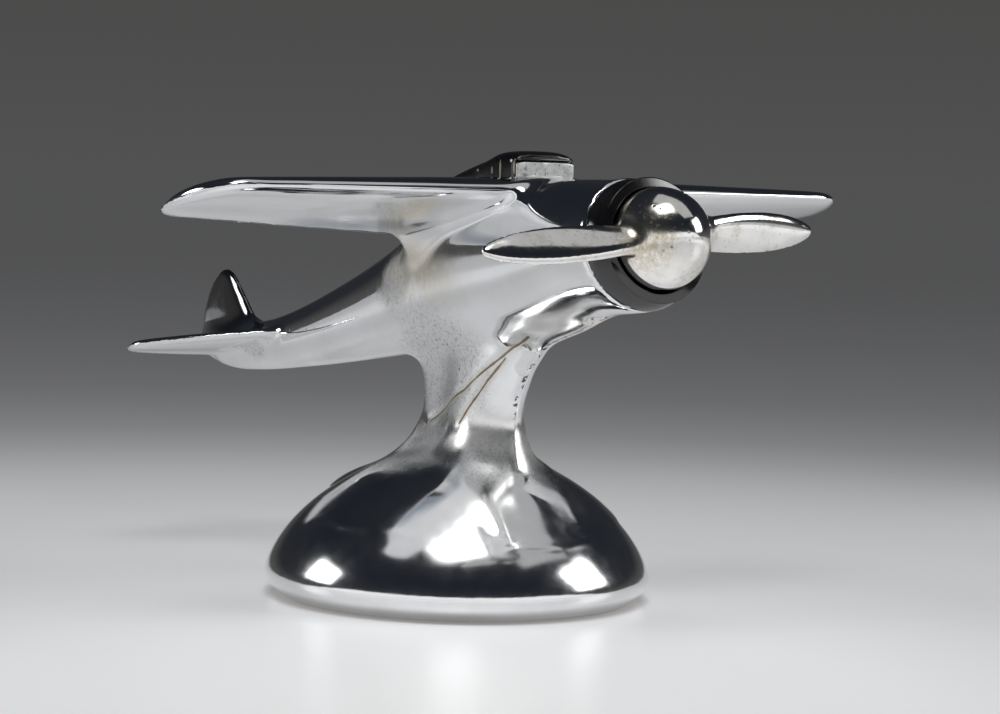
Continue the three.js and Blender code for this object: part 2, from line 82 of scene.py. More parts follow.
def fair_curve(xs, ys, sigma=3.0):
    """The same table with its bends evened out, so that reflections run smoothly along it."""
    base = spline(xs, ys)
    step = sigma / 8.0
    g = np.arange(xs[0] - 4 * sigma, xs[-1] + 4 * sigma + step, step)
    s0 = (ys[1] - ys[0]) / (xs[1] - xs[0]); s1 = (ys[-1] - ys[-2]) / (xs[-1] - xs[-2])
    v = base(g)
    v = np.where(g < xs[0], ys[0] + s0 * (g - xs[0]), v)
    v = np.where(g > xs[-1], ys[-1] + s1 * (g - xs[-1]), v)
    k = np.arange(-32, 33) * step
    w = np.exp(-0.5 * (k / sigma) ** 2); w /= w.sum()
    sm = np.convolve(np.pad(v, 32, mode='edge'), w, mode='valid')
    # cubic B-spline lookup on the even grid
    d2 = np.gradient(np.gradient(sm, step), step)

    def f(x):
        x = np.clip(x, g[0] + step, g[-1] - 2 * step)
        i = ((x - g[0]) / step).astype(int)
        t = (x - g[0]) / step - i
        a, b = sm[i], sm[i + 1]
        return a + t * (b - a) - t * (1 - t) * step * step * ((2 - t) * d2[i] + (1 + t) * d2[i + 1]) / 6.0
    return f


def smin(a, b, k):
    h = np.clip(0.5 + 0.5 * (b - a) / k, 0, 1)
    return b + (a - b) * h - k * h * (1 - h)


def smax(a, b, k):
    return -smin(-a, -b, k)


def poly2d(px, py, vx, vy):
    """Signed distance of points to closed polygons, one polygon per point (N,K) or one for all (K,). Negative inside."""
    shared = vx.ndim == 1
    K = vx.shape[-1]
    best = np.full(px.shape, 1e9)
    inside = np.zeros(px.shape, bool)
    for i in range(K):
        j = (i + 1) % K
        ax, ay = (vx[i], vy[i]) if shared else (vx[:, i], vy[:, i])
        bx, by = (vx[j], vy[j]) if shared else (vx[:, j], vy[:, j])
        ex = bx - ax; ey = by - ay
        wx = px - ax; wy = py - ay
        t = np.clip((wx * ex + wy * ey) / np.maximum(ex * ex + ey * ey, 1e-12), 0, 1)
        dx = wx - ex * t; dy = wy - ey * t
        best = np.minimum(best, dx * dx + dy * dy)
        c = (ay > py) != (by > py)
        with np.errstate(divide='ignore', invalid='ignore'):
            xc = ax + (py - ay) * ex / np.where(ey == 0, 1e-12, ey)
        inside ^= c & (px < xc)
    d = np.sqrt(best)
    return np.where(inside, -d, d)


def lofted(P, axis, f, lo, hi, pad=7.0, far=8.0, step=0.25):
    """Runs a 2D section distance f(P) only near a box, and corrects it for the slope of the sections along axis."""
    out = np.full(len(P), float(far))
    m = np.all((P > np.array(lo) - pad) & (P < np.array(hi) + pad), axis=1)
    if not m.any():
        return out
    Q = P[m]
    d = f(Q)
    Q1 = Q.copy(); Q1[:, axis] += step
    Q2 = Q.copy(); Q2[:, axis] -= step
    g = (f(Q1) - f(Q2)) / (2 * step)
    g = np.clip(g, -3, 3)
    out[m] = d / np.sqrt(1 + g * g)
    return out


def surface_net(sdf, lo, hi, cell, coarse=3, rounds=2):
    """Dense quads on the zero set of sdf, with vertices moved onto it. Returns points, quads and None in place of
    normals.
    """
    lo = np.array(lo, float); hi = np.array(hi, float); cell = np.array(cell, float)
    n = (np.ceil((hi - lo) / cell / coarse) * coarse).astype(int) + 1
    nc = (n - 1) // coarse + 1
    ax = [lo[i] + cell[i] * np.arange(n[i]) for i in range(3)]
    cx = [a[::coarse] for a in ax]
    G = np.stack(np.meshgrid(*cx, indexing='ij'), -1).reshape(-1, 3)
    dc = chunked(sdf, G).reshape(nc)
    diag = float(np.linalg.norm(cell * coarse))
    near = np.abs(dc) < diag * 1.15
    blk = np.zeros(nc - 1, bool)
    for a in (0, 1):
        for b in (0, 1):
            for c in (0, 1):
                blk |= near[a:nc[0] - 1 + a, b:nc[1] - 1 + b, c:nc[2] - 1 + c]
    val = np.repeat(np.repeat(np.repeat(dc, coarse, 0), coarse, 1), coarse, 2)[:n[0], :n[1], :n[2]].astype(float)
    val = np.where(val >= 0, np.maximum(val, .01), np.minimum(val, -.01))
    need = np.zeros(n, bool)
    bi = np.argwhere(blk)
    offs = np.stack(np.meshgrid(*[np.arange(coarse + 1)] * 3, indexing='ij'), -1).reshape(-1, 3)
    for o in offs:
        q = bi * coarse + o
        need[q[:, 0], q[:, 1], q[:, 2]] = True
    idx = np.argwhere(need)
    pts = lo + idx * cell
    val[idx[:, 0], idx[:, 1], idx[:, 2]] = chunked(sdf, pts)
    s = val < 0
    shp = n - 1
    anyc = np.zeros(shp, bool); allc = np.ones(shp, bool)
    for a in (0, 1):
        for b in (0, 1):
            for c in (0, 1):
                q = s[a:n[0] - 1 + a, b:n[1] - 1 + b, c:n[2] - 1 + c]
                anyc |= q; allc &= q
    cells = np.argwhere(anyc & ~allc)
    cid = -np.ones(shp, int)
    cid[cells[:, 0], cells[:, 1], cells[:, 2]] = np.arange(len(cells))
    corners = {}
    for a in (0, 1):
        for b in (0, 1):
            for c in (0, 1):
                corners[(a, b, c)] = val[cells[:, 0] + a, cells[:, 1] + b, cells[:, 2] + c]
    acc = np.zeros((len(cells), 3)); cnt = np.zeros(len(cells))
    for axis in range(3):
        for u in (0, 1):
            for v in (0, 1):
                k0 = [0, 0, 0]; o = [i for i in range(3) if i != axis]
                k0[o[0]] = u; k0[o[1]] = v
                k1 = list(k0); k1[axis] = 1
                A = corners[tuple(k0)]; B = corners[tuple(k1)]
                cr = (A < 0) != (B < 0)
                t = np.where(cr, A / np.where(cr, A - B, 1), 0)
                pos = np.zeros((len(cells), 3)); pos[:, o[0]] = u; pos[:, o[1]] = v; pos[:, axis] = t
                acc[cr] += pos[cr]; cnt[cr] += 1
    V = lo + (cells + acc / cnt[:, None]) * cell
    quads = []
    for axis in range(3):
        o = [i for i in range(3) if i != axis]
        A = np.take(s, np.arange(n[axis] - 1), axis); B = np.take(s, np.arange(1, n[axis]), axis)
        e = np.argwhere(A != B)
        ok = (e[:, o[0]] > 0) & (e[:, o[1]] > 0) & (e[:, o[0]] < n[o[0]] - 1) & (e[:, o[1]] < n[o[1]] - 1)
        e = e[ok]
        first_in = A[e[:, 0], e[:, 1], e[:, 2]]

        def cc(du, dv):
            q = e.copy(); q[:, o[0]] -= du; q[:, o[1]] -= dv
            return cid[q[:, 0], q[:, 1], q[:, 2]]
        q4 = np.stack([cc(1, 1), cc(0, 1), cc(0, 0), cc(1, 0)], 1)
        flip = first_in if axis != 1 else ~first_in
        q4[~flip] = q4[~flip][:, ::-1]
        quads.append(q4)
    Q = np.concatenate(quads)
    Q = Q[(Q >= 0).all(1)]
    lim = float(cell.min()) * 0.6
    for r in range(rounds):
        d = chunked(sdf, V); g = grad(sdf, V)
        g2 = np.maximum((g * g).sum(1), 0.15)
        mv = -(d / g2)[:, None] * g
        L = np.linalg.norm(mv, axis=1, keepdims=True)
        V = V + mv * np.minimum(1, lim / np.maximum(L, 1e-9))
        if r < rounds - 1:   # slide the points towards their neighbours' mean, then land them again
            V = V + 0.5 * tangential(V, Q, g)
    return V, Q, None


def neighbours(nv, Q):
    E = np.concatenate([Q[:, [0, 1]], Q[:, [1, 2]], Q[:, [2, 3]], Q[:, [3, 0]]])
    E = np.concatenate([E, E[:, ::-1]])
    return E


def mean_of(values, E, nv, w=None):
    out = np.zeros((nv, values.shape[1])); c = np.zeros(nv)
    ww = np.ones(len(E)) if w is None else w
    for k in range(values.shape[1]):
        out[:, k] = np.bincount(E[:, 0], weights=values[E[:, 1], k] * ww, minlength=nv)
    c = np.bincount(E[:, 0], weights=ww, minlength=nv)
    return out, c


def tangential(V, Q, g):
    E = neighbours(len(V), Q)
    mo, c = mean_of(V, E, len(V))
    d = mo / np.maximum(c, 1)[:, None] - V
    gn = g / np.maximum(np.linalg.norm(g, axis=1, keepdims=True), 1e-6)
    return d - gn * (d * gn).sum(1, keepdims=True)


def chunked(f, P, size=60000):
    out = np.empty(len(P))
    for i in range(0, len(P), size):
        out[i:i + size] = f(P[i:i + size])
    return out


def grad(f, P, e=0.12):
    g = np.empty_like(P)
    for k in range(3):
        a = P.copy(); a[:, k] += e
        b = P.copy(); b[:, k] -= e
        g[:, k] = (chunked(f, a) - chunked(f, b)) / (2 * e)
    return g


def smooth_normals(V, Q, rounds=3, sharp=0.55):
    """Area-weighted vertex normals, smoothed among neighbours that face much the same way."""
    fn = np.cross(V[Q[:, 2]] - V[Q[:, 0]], V[Q[:, 3]] - V[Q[:, 1]])
    vn = np.zeros_like(V)
    for k in range(4):
        for c in range(3):
            vn[:, c] += np.bincount(Q[:, k], weights=fn[:, c], minlength=len(V))
    vn /= np.maximum(np.linalg.norm(vn, axis=1, keepdims=True), 1e-12)
    E = neighbours(len(V), Q)
    for _ in range(rounds):
        dot = (vn[E[:, 0]] * vn[E[:, 1]]).sum(1)
        w = np.clip((dot - sharp) / (1 - sharp), 0, 1) ** 2
        s, c = mean_of(vn, E, len(V), w)
        vn = vn + s
        vn /= np.maximum(np.linalg.norm(vn, axis=1, keepdims=True), 1e-12)
    return vn


def make_mesh(name, V, Q, normals=None, mat=None, mats=None, face_mat=None):
    me = bpy.data.meshes.new(name)
    V = np.asarray(V, float) * MM
    Q = np.asarray(Q)
    me.vertices.add(len(V)); me.vertices.foreach_set("co", V.astype(F).ravel())
    k = Q.shape[1]
    me.loops.add(len(Q) * k); me.loops.foreach_set("vertex_index", Q.astype(np.int32).ravel())
    me.polygons.add(len(Q))
    me.polygons.foreach_set("loop_start", (np.arange(len(Q)) * k).astype(np.int32))
    me.polygons.foreach_set("loop_total", np.full(len(Q), k, np.int32))
    me.update(calc_edges=True)
    me.validate()
    me.shade_smooth()
    if normals is not None:
        me.normals_split_custom_set_from_vertices(np.asarray(normals, float).tolist())
    ob = bpy.data.objects.new(name, me)
    scene.collection.objects.link(ob)
    if mat is not None:
        me.materials.append(mat)
    return ob


def shaft_coords(P):
    """(x, up, s) of points in the engine's frame."""
    d = P - NOSE
    return d[:, 0], d @ M, d @ N


def place_on_shaft(x, m, s):
    return NOSE + np.outer(x, [1, 0, 0]) + np.outer(m, M) + np.outer(s, N)


# ------------------------------------------------------------------ body casting
dome_prof = np.array([[0, 0.35], [35.0, 0.35], [36.0, 0.95], [36.9, 1.8], [37.7, 2.9], [38.1, 4.3], [37.75, 6.1], [36.9, 8.2], [35.4, 10.8], [33.4, 13.5],
                      [30.9, 16.2], [28.0, 18.8], [25.0, 21.0], [21.2, 23.4], [17.0, 25.6], [12, 27.4], [6, 28.6], [0, 29.0]])


def fine_profile(prof, per=6, start=1):
    """A turned outline through the points, rounded by a centripetal curve from index start on."""
    p = prof[start:]
    ext = np.vstack([2 * p[0] - p[1], p, [[-p[-2][0], p[-2][1]]]])
    out = []
    for i in range(1, len(ext) - 2):
        p0, p1, p2, p3 = ext[i - 1], ext[i], ext[i + 1], ext[i + 2]
        for t in np.arange(per) / per:
            out.append(0.5 * ((2 * p1) + (-p0 + p2) * t + (2 * p0 - 5 * p1 + 4 * p2 - p3) * t * t + (-p0 + 3 * p1 - 3 * p2 + p3) * t ** 3))
    out.append(p[-1])
    return np.vstack([prof[:start], out])


dome_fine = fine_profile(dome_prof)
hollow_prof = np.array([[0, -2], [33.3, -2], [33.3, 2.5], [31.4, 2.5], [33.0, 4.4], [32.6, 7.4], [31.2, 10.2], [29.2, 12.6], [26.6, 15.0],
                        [23.4, 17.4], [19.0, 20.0], [13.0, 22.4], [6, 23.8], [0, 24.2]])


def rev(prof):
    full = np.vstack([prof, prof[::-1][1:-1] * [-1, 1]]) if prof[0][0] == 0 else prof
    vx, vy = full[:, 0], full[:, 1]
    # keep only the half plane outline: the closing edge runs down the axis, far from any surface point
    def f(rho, z):
        return poly2d(rho, z, prof_x, prof_y)
    prof_x = np.concatenate([[-60.0], prof[:, 0], [-60.0]])
    prof_y = np.concatenate([[prof[0][1]], prof[:, 1], [prof[-1][1]]])
    return f


dome_f = rev(dome_fine)
hollow_f = rev(hollow_prof)

_fy = [-64, -57.02, -50, -42, -34, -26, -17, -8, 2, 12, 21, 30, 40, 48.5, 57, 65.4, 74, 83, 92, 100, 106, 109.7]
_ft = [NOSE[2] + 0.2263 * 6.98 + 12.35, NOSE[2] + 12.35, 83.2, 83.1, 82.9, 82.6, 81.6, 79.9, 77.4, 72.6, 68.4, 64.7, 61.0, 58.1, 55.3, 52.8, 50.6, 49.1, 47.8, 46.8, 46.0, 44.9]
_fb = [NOSE[2] + 0.2263 * 6.98 - 12.35, NOSE[2] - 12.35, 58.7, 56.5, 54.6, 53.0, 51.7, 50.4, 49.0, 47.6, 46.3, 45.0, 43.5, 42.3, 41.2, 40.2, 39.2, 38.4, 37.9, 38.4, 39.8, 41.4]
_fw = [12.05, 12.05, 12.1, 12.1, 12.0, 11.7, 11.3, 10.8, 10.2, 9.3, 8.5, 7.7, 6.8, 6.1, 5.4, 4.8, 4.2, 3.6, 2.9, 2.2, 1.5, 0.7]
_fp = [2, 2, 2.05, 2.15, 2.25, 2.35, 2.4, 2.4, 2.4, 2.3, 2.25, 2.2, 2.2, 2.15, 2.1, 2.1, 2.05, 2.1, 2.05, 2, 2, 2]
f_top, f_bot, f_w, f_p = (fair_curve(_fy, t, g) for t, g in ((_ft, 3.2), (_fb, 3.2), (_fw, 3.2), (_fp, 5.0)))


def fus2d(P):
    y = P[:, 1]
    zt, zb, w, p = f_top(y), f_bot(y), f_w(y), f_p(y)
    zc = (zt + zb) / 2; h = (zt - zb) / 2
    dx, dz = np.abs(P[:, 0]), P[:, 2] - zc
    q = ((dx / w) ** p + (np.abs(dz) / h) ** p) ** (1 / p)
    r = np.hypot(dx, dz)
    return np.where(q > 1e-3, r * (1 - 1 / np.maximum(q, 1e-3)), -np.minimum(w, h))


def fuselage_d(P):
    d = lofted(P, 1, fus2d, (-12.5, -60, 37), (12.5, 111, 86), far=9)
    _, _, s = shaft_coords(P)
    d = smax(d, s, 0.5)
    return smax(d, P[:, 1] - 109.4, 1.2)


stem_t = np.array([[18.0, -27.0, 42.0, 26.0], [19.5, -26.4, 40.0, 24.0], [21.0, -25.7, 37.0, 21.5], [22.5, -24.8, 33.0, 19.0], [24.0, -23.2, 27.6, 16.0], [26.5, -21.4, 22.4, 12.4], [29.0, -20.2, 18.6, 9.6],
                   [32.7, -19.3, 15.0, 7.6], [36.0, -18.6, 12.9, 6.7], [39.8, -19.2, 12.6, 6.4], [43.0, -21.1, 13.2, 6.3], [46.0, -23.0, 15.6, 6.3],
                   [49.0, -26.2, 20.5, 6.3], [52.0, -29.6, 27.0, 6.4], [54.5, -37.0, 33.0, 6.4], [57.0, -42.0, 36.0, 6.0], [60.0, -44.0, 34.0, 4.0]])
st_f, st_r, st_w = (fair_curve(stem_t[:, 0], stem_t[:, i], 1.1) for i in (1, 2, 3))
_su = np.array([0, 0.02, 0.07, 0.15, 0.25, 0.36, 0.48, 0.6, 0.72, 0.85, 0.95, 1.0])
_sk = np.array([0, 0.24, 0.55, 0.83, 0.98, 1.0, 0.84, 0.6, 0.46, 0.38, 0.26, 0])
_kf = spline(_su, _sk)
_uu = np.concatenate([[0, .006, .02, .045, .07, .11], np.linspace(.15, .94, 18), [.965, .985, .996, 1.0]])
_kk = np.where(_uu < 0.07, 0.55 * np.sqrt(np.clip(_uu / 0.07, 0, 1)), _kf(_uu))
_kk = np.where(_uu > 0.95, 0.26 * np.sqrt(np.clip((1 - _uu) / 0.05, 0, 1)), _kk)


def stem2d(P):
    z = P[:, 2]
    yf, yr, w = st_f(z)[:, None], st_r(z)[:, None], st_w(z)[:, None]
    vy = yf + _uu[None, :] * (yr - yf)
    vx = w * _kk[None, :]
    # half outline closed through negative x keeps the distance right for |x|
    vx = np.concatenate([vx, np.full((len(z), 2), -30.0)], 1)
    vy = np.concatenate([vy, vy[:, -1:], vy[:, :1]], 1)
    ax = np.abs(P[:, 0])
    return poly2d(ax, P[:, 1], vx, vy)


def stem_d(P):
    d = lofted(P, 2, stem2d, (-24, -44, 18.5), (24, 40, 60), far=9)
    return smax(smax(d, 17.5 - P[:, 2], 0.5), P[:, 2] - 60.5, 0.5)


_up = np.array([[0, 0.0], [0.012, 0.3], [0.04, 0.52], [0.09, 0.74], [0.17, 0.92], [0.28, 1.0], [0.42, 0.94], [0.6, 0.72], [0.8, 0.42], [1, 0.2]])
_lo = np.array([[1, 0.5], [0.8, 0.55], [0.6, 0.8], [0.4, 0.98], [0.2, 1.0], [0.08, 0.85], [0.02, 0.5], [0, 0]])
_ufn, _lfn = spline(_up[:, 0], _up[:, 1]), spline(_lo[::-1, 0], _lo[::-1, 1])
_ut = np.array([0, .004, .012, .025, .045, .075, .12, .17, .23, .29, .36, .44, .52, .6, .7, .8, .88, .95, .985, 1.0])
_uk = np.where(_ut < 0.04, 0.52 * (np.clip(_ut / 0.04, 0, 1)) ** 0.45, _ufn(_ut)); _uk[-1] *= 0.35; _uk[-2] *= 0.85
_lt = np.array([1.0, .985, .95, .88, .8, .7, .6, .5, .4, .3, .2, .12, .08, .045, .02, .006])
_lk = np.where(_lt < 0.08, 0.85 * (np.clip(_lt / 0.08, 0, 1)) ** 0.45, _lfn(_lt)); _lk[0] *= 0.35; _lk[1] *= 0.85


def plane_surface(plan, slope, z0, y0=0.0):
    plan = np.array(plan)
    yl, yt, hu, hl = (fair_curve(plan[:, 0], plan[:, i], 0.7) for i in (1, 2, 3, 4))
    xm = plan[-1, 0]
    c, s = 1 / math.hypot(1, slope), -slope / math.hypot(1, slope)   # chord direction (y, z)

    def f2(P):
        ax = np.abs(P[:, 0])
        a, b = yl(ax)[:, None], yt(ax)[:, None]
        u, l = hu(ax)[:, None], hl(ax)[:, None]
        # coordinates along the chord plane and square to it
        yy = (P[:, 1] - y0) * c + (P[:, 2] - z0) * s
        zz = -(P[:, 1] - y0) * s + (P[:, 2] - z0) * c
        la, lb = (a - y0) / c, (b - y0) / c
        vy = np.concatenate([la + _ut[None] * (lb - la), la + _lt[None] * (lb - la)], 1)
        vz = np.concatenate([_uk[None] * u, -_lk[None] * l], 1)
        return poly2d(yy, zz, vy, vz)

    lo = (-xm, plan[:, 1].min(), z0 - slope * (plan[:, 2].max() - y0) - 3)
    hi = (xm, plan[:, 2].max(), z0 - slope * (plan[:, 1].min() - y0) + 5)

    def f(P):
        d = lofted(P, 0, f2, lo, hi, far=8, pad=6)
        return smax(d, np.abs(P[:, 0]) - xm, 0.8)
    return f


wing_d = plane_surface([[0, -31.0, 6.0, 4.5, 1.3], [16, -31.0, 4.0, 4.15, 1.3], [25.5, -31.1, 2.0, 3.85, 1.25], [42.8, -31.2, -1.6, 3.25, 1.15], [58, -31.3, -5.0, 2.7, 1.05],
                        [64, -31.3, -6.3, 2.45, 1.0], [67.5, -30.6, -6.9, 2.3, 0.95], [69.8, -28.8, -7.9, 2.05, 0.9], [71.6, -26.3, -9.6, 1.75, 0.8], [72.9, -22.8, -11.9, 1.3, 0.65], [73.7, -18.6, -14.3, 0.7, 0.5]],
                       0.2567, 72.67)
tail_d = plane_surface([[0, 64.5, 99.0, 1.5, 1.3], [5, 66.6, 97.8, 1.45, 1.25], [10.2, 69.1, 96.8, 1.4, 1.2], [19.8, 73.9, 94.5, 1.25, 1.1], [25.1, 77.4, 92.8, 1.1, 1.0],
                        [28.6, 80.1, 90.4, 0.95, 0.85], [30.4, 82.1, 87.8, 0.75, 0.65], [31.1, 83.8, 85.6, 0.5, 0.45]],
                       0.2254, 44.0, 85.0)

fin_t = np.array([[42, 84.5, 108.6, 1.6], [46, 83.2, 109.9, 1.6], [48.4, 83.0, 109.6, 1.58], [49.8, 85.6, 109.3, 1.5], [51.6, 87.6, 108.6, 1.37], [53.9, 90.0, 107.5, 1.2],
                  [56.2, 92.5, 105.9, 1.03], [58.4, 94.9, 103.3, 0.86], [59.5, 96.6, 101.6, 0.75], [60.1, 98.2, 100.4, 0.6]])
fi_f, fi_r, fi_w = (fair_curve(fin_t[:, 0], fin_t[:, i], 0.6) for i in (1, 2, 3))
_fu = np.array([0, .01, .03, .06, .12, .2, .32, .45, .6, .75, .87, .95, .985, 1.0])
_fk = np.array([0, .3, .45, .57, .77, .9, .98, 1.0, .93, .8, .65, .5, .3, 0])


def fin2d(P):
    z = P[:, 2]
    yf, yr, w = fi_f(z)[:, None], fi_r(z)[:, None], fi_w(z)[:, None]
    vy = yf + _fu[None] * (yr - yf); vx = w * _fk[None]
    vx = np.concatenate([vx, np.full((len(z), 2), -8.0)], 1)
    vy = np.concatenate([vy, vy[:, -1:], vy[:, :1]], 1)
    return poly2d(np.abs(P[:, 0]), P[:, 1], vx, vy)


def fin_d(P):
    d = lofted(P, 2, fin2d, (-2, 82, 42), (2, 111, 61), far=8, pad=5)
    return smax(smax(d, P[:, 2] - 60.1, 0.7), 41.0 - P[:, 2], 0.5)


# wheel fairings: low raised flats on the front of the dome, bounded by an inner step and an outer crescent edge
fx_out = spline([-33.4, -31.8, -28, -21.2, -13.2, -8, 0, 8], [8.9, 10.0, 11.0, 12.3, 13.7, 14.7, 15.4, 15.8])
fx_in = spline([-33.4, -31.8, -29.5, -26.5, -21.8, -18.2, -15.5, -12], [8.7, 7.3, 6.3, 5.9, 5.1, 2.6, -1.0, -4.0])
f_hm = fair_curve([-33.4, -31.6, -29, -24, -16, -8, 0, 8], [0.0, 0.45, 0.62, 0.6, 0.48, 0.36, 0.2, 0.0], 0.6)


def sstep(t):
    t = np.clip(t, 0, 1)
    return t * t * (3 - 2 * t)


def flats(P):
    ax, y = np.abs(P[:, 0]), P[:, 1]
    xo, xi = fx_out(y), fx_in(y)
    h = f_hm(y) * sstep((ax - xi) / 4.2 + 0.2) * sstep((xo - ax) / 3.2 + 0.2)
    return np.where((y > -33.4) & (y < 8), h, 0.0)


def seg2(py, pz, pts):
    """Distance in the side view to a polyline."""
    best = np.full(len(py), 1e9)
    for (ay, az), (by, bz) in zip(pts[:-1], pts[1:]):
        ey, ez = by - ay, bz - az
        t = np.clip(((py - ay) * ey + (pz - az) * ez) / (ey * ey + ez * ez), 0, 1)
        best = np.minimum(best, np.hypot(py - ay - t * ey, pz - az - t * ez))
    return best


STRUT_A = [(-28.8, 53.25), (-23.2, 50.7), (-19.5, 48.2), (-15.2, 45.3), (-10.2, 41.7), (-2.3, 38.05), (7.4, 33.8)]
STRUT_B = [(-21.0, 48.6), (-16.6, 44.1), (-12.0, 38.6), (-9.6, 35.2)]
rngn = np.random.default_rng(7)
_wv = [(rngn.normal(size=3) * 0.16, rngn.uniform(0, 6.28)) for _ in range(9)]


def shell_d(P):
    rho = np.hypot(P[:, 0], P[:, 1])
    dome = dome_f(rho, P[:, 2])
    d = dome - flats(P)
    st = stem_d(P)
    d = smin(d, st, 3.2)
    root = np.stack([np.abs(P[:, 0]) - 11.0, P[:, 1] - 5.0, P[:, 2] - 70.0], 1)
    fus = smin(fuselage_d(P), wing_d(P), 3.8 + 5.5 * np.exp(-(root * root).sum(1) / 90.0))
    fus = smin(fus, tail_d(P), 2.6)
    fus = smin(fus, fin_d(P), 2.4)
    d = smin(d, fus, 3.2)
    return d


def relief(P):
    """How far the surface is pushed in (+) or out (-) of the plain form."""
    ax = np.abs(P[:, 0]); y, z = P[:, 1], P[:, 2]
    onstem = np.clip((ax - 1.0) / 1.5, 0, 1) * np.clip((9.5 - ax) / 1.5, 0, 1)
    ga = seg2(y, z, STRUT_A); gb = seg2(y, z, STRUT_B)
    out = 0.30 * np.exp(-(ga / 0.5) ** 2) * onstem
    out += 0.30 * np.exp(-(gb / 0.5) ** 2) * onstem
    # thin lip that joins the feet of the two fairings across the front of the dome
    low = (z < 17) & (y < -28)
    lip = np.full(len(P), 9.0)
    if low.any():
        q = np.stack([ax[low], y[low], z[low]], 1)
        a0 = np.array([0.0, -33.5, 13.5]); e = np.array([8.9, -31.8, 13.9]) - a0
        t = np.clip(((q - a0) @ e) / (e @ e), 0, 1)
        lip[low] = np.linalg.norm(q - (a0 + t[:, None] * e), axis=1)
    out -= 0.16 * np.exp(-(lip / 0.5) ** 2)
    # slow waviness left by hand polishing
    w = 0
    for k, ph in _wv:
        w = w + np.sin(P @ k + ph)
    out += 0.005 * w
    return out


GRUB = NOSE - 14.9 * N
DOWN = -M
pin_n = np.array([0, 0.268, 1.0]); pin_n /= np.linalg.norm(pin_n)


def cyl(P, c, a, r, h0, h1):
    d = P - c; t = d @ a
    rr = np.sqrt(np.maximum((d * d).sum(1) - t * t, 0))
    return np.maximum(rr - r, np.maximum(h0 - t, t - h1))


# canopy outline
cano = np.array([[-26.9, 6.75, 87.3], [-25.6, 6.9, 87.9], [-23.5, 7.0, 88.1], [-20.5, 7.05, 88.0], [-16, 6.95, 86.7], [-10, 6.8, 85.2], [-3, 6.45, 83.3], [4, 5.6, 81.0], [8, 4.8, 79.2], [12.5, 3.7, 76.8], [16.5, 2.6, 74.0], [19.4, 1.4, 71.4]])
ca_w, ca_t = fair_curve(cano[:, 0], cano[:, 1], 0.7), fair_curve(cano[:, 0], cano[:, 2], 0.7)


def seat(y):
    return 81.2 - (y + 27.2) * 0.268


def canopy2d(P, grow=0.0, tall=0.0):
    y = P[:, 1]
    b, t, zb = ca_w(y) + grow, ca_t(y) + grow + tall, seat(y) - grow
    ax = np.abs(P[:, 0])
    sh = zb + (t - zb) * 0.66
    p = 2 / 0.6
    dz = np.maximum(P[:, 2] - sh, 0)
    h = np.maximum(t - sh, 0.2)
    q = ((ax / b) ** p + (dz / h) ** p) ** (1 / p)
    r = np.hypot(ax, dz)
    up = np.where(q > 1e-3, r * (1 - 1 / np.maximum(q, 1e-3)), -np.minimum(b, h))
    return np.maximum(up, (zb - P[:, 2]) / 1.035)


def canopy_vol(P, grow=0.0, tall=0.0):
    d = lofted(P, 1, lambda Q: canopy2d(Q, grow, tall), (-8, -28, 68), (8, 21, 96), far=8, pad=5)
    return np.maximum(d, np.maximum(-26.9 - grow - P[:, 1], P[:, 1] - 19.4 - grow))


def body_d(P):
    d = shell_d(P) + relief(P)
    x, m_, s = shaft_coords(P)
    rho_s = np.hypot(x, m_)
    d = np.minimum(d, np.maximum(rho_s - 8.0, np.maximum(-4 - s, s - 3.0)))       # spigot for the cowl ring
    rho = np.hypot(P[:, 0], P[:, 1])
    hol = hollow_f(rho, P[:, 2])
    inner = np.full(len(P), 9.0)
    for sy in (-16, 16):
        inner = np.minimum(inner, np.hypot(P[:, 0], P[:, 1] - sy) - 5.4)
    for k in range(3):
        a = 2 * math.pi * k / 3
        inner = np.minimum(inner, np.maximum(np.hypot(P[:, 0] - 25.5 * math.cos(a), P[:, 1] - 25.5 * math.sin(a)) - 3.2, P[:, 2] - 18.2))
    inner = np.maximum(inner, 2.6 - P[:, 2])
    hol = np.maximum(hol, -inner)
    d = smax(d, -hol, 0.3)
    for sy in (-16, 16):
        d = np.maximum(d, -np.maximum(np.hypot(P[:, 0], P[:, 1] - sy) - 3.3, P[:, 2] - 12.2))
    for k in range(3):
        a = 2 * math.pi * k / 3
        d = np.maximum(d, -np.maximum(np.hypot(P[:, 0] - 25.5 * math.cos(a), P[:, 1] - 25.5 * math.sin(a)) - 1.55, P[:, 2] - 10.3))
    d = np.maximum(d, -np.maximum(rho_s - 3.8, np.maximum(-19.3 - s, s - 4)))       # bush bore
    d = smax(d, -cyl(P, GRUB, DOWN, 1.8, 0.5, 16), 0.5)                              # set-screw hole in the belly
    d = np.maximum(d, -canopy_vol(P, 0.3, 8.0))                                      # canopy pocket
    for y in (-18.0, 3.0):
        d = np.maximum(d, -cyl(P, np.array([0, y, seat(y)]), pin_n, 1.5, -5.3, 0.5))
    # axle stud recess and stud on each fairing
    ap = np.stack([np.abs(P[:, 0]), P[:, 1], P[:, 2]], 1)
    sd = np.array([0.196, -0.703, 0.683]); sd /= np.linalg.norm(sd)
    sc = np.array([8.6, -30.7, 15.4])
    w = ap - sc; t = w @ sd
    rr = np.sqrt(np.maximum((w * w).sum(1) - t * t, 0))
    near = np.abs(t) < 4
    d = d + np.where(near, 0.34 * np.exp(-((rr - 1.15) / 0.34) ** 2), 0) - np.where(near, 0.22 * np.exp(-(rr / 0.55) ** 2), 0)
    return d


import time
_t0 = time.time()
cell = ((0.85, 0.56, 0.44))
V, Q, _ = surface_net(body_d, (-76, -62, -0.5), (76, 112, 87), cell)
body = make_mesh("casting", V, Q, smooth_normals(V, Q, 4))
print("casting", len(V), len(Q), round(time.time() - _t0, 1), "s")
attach(body, "airframe"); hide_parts("body_casting")

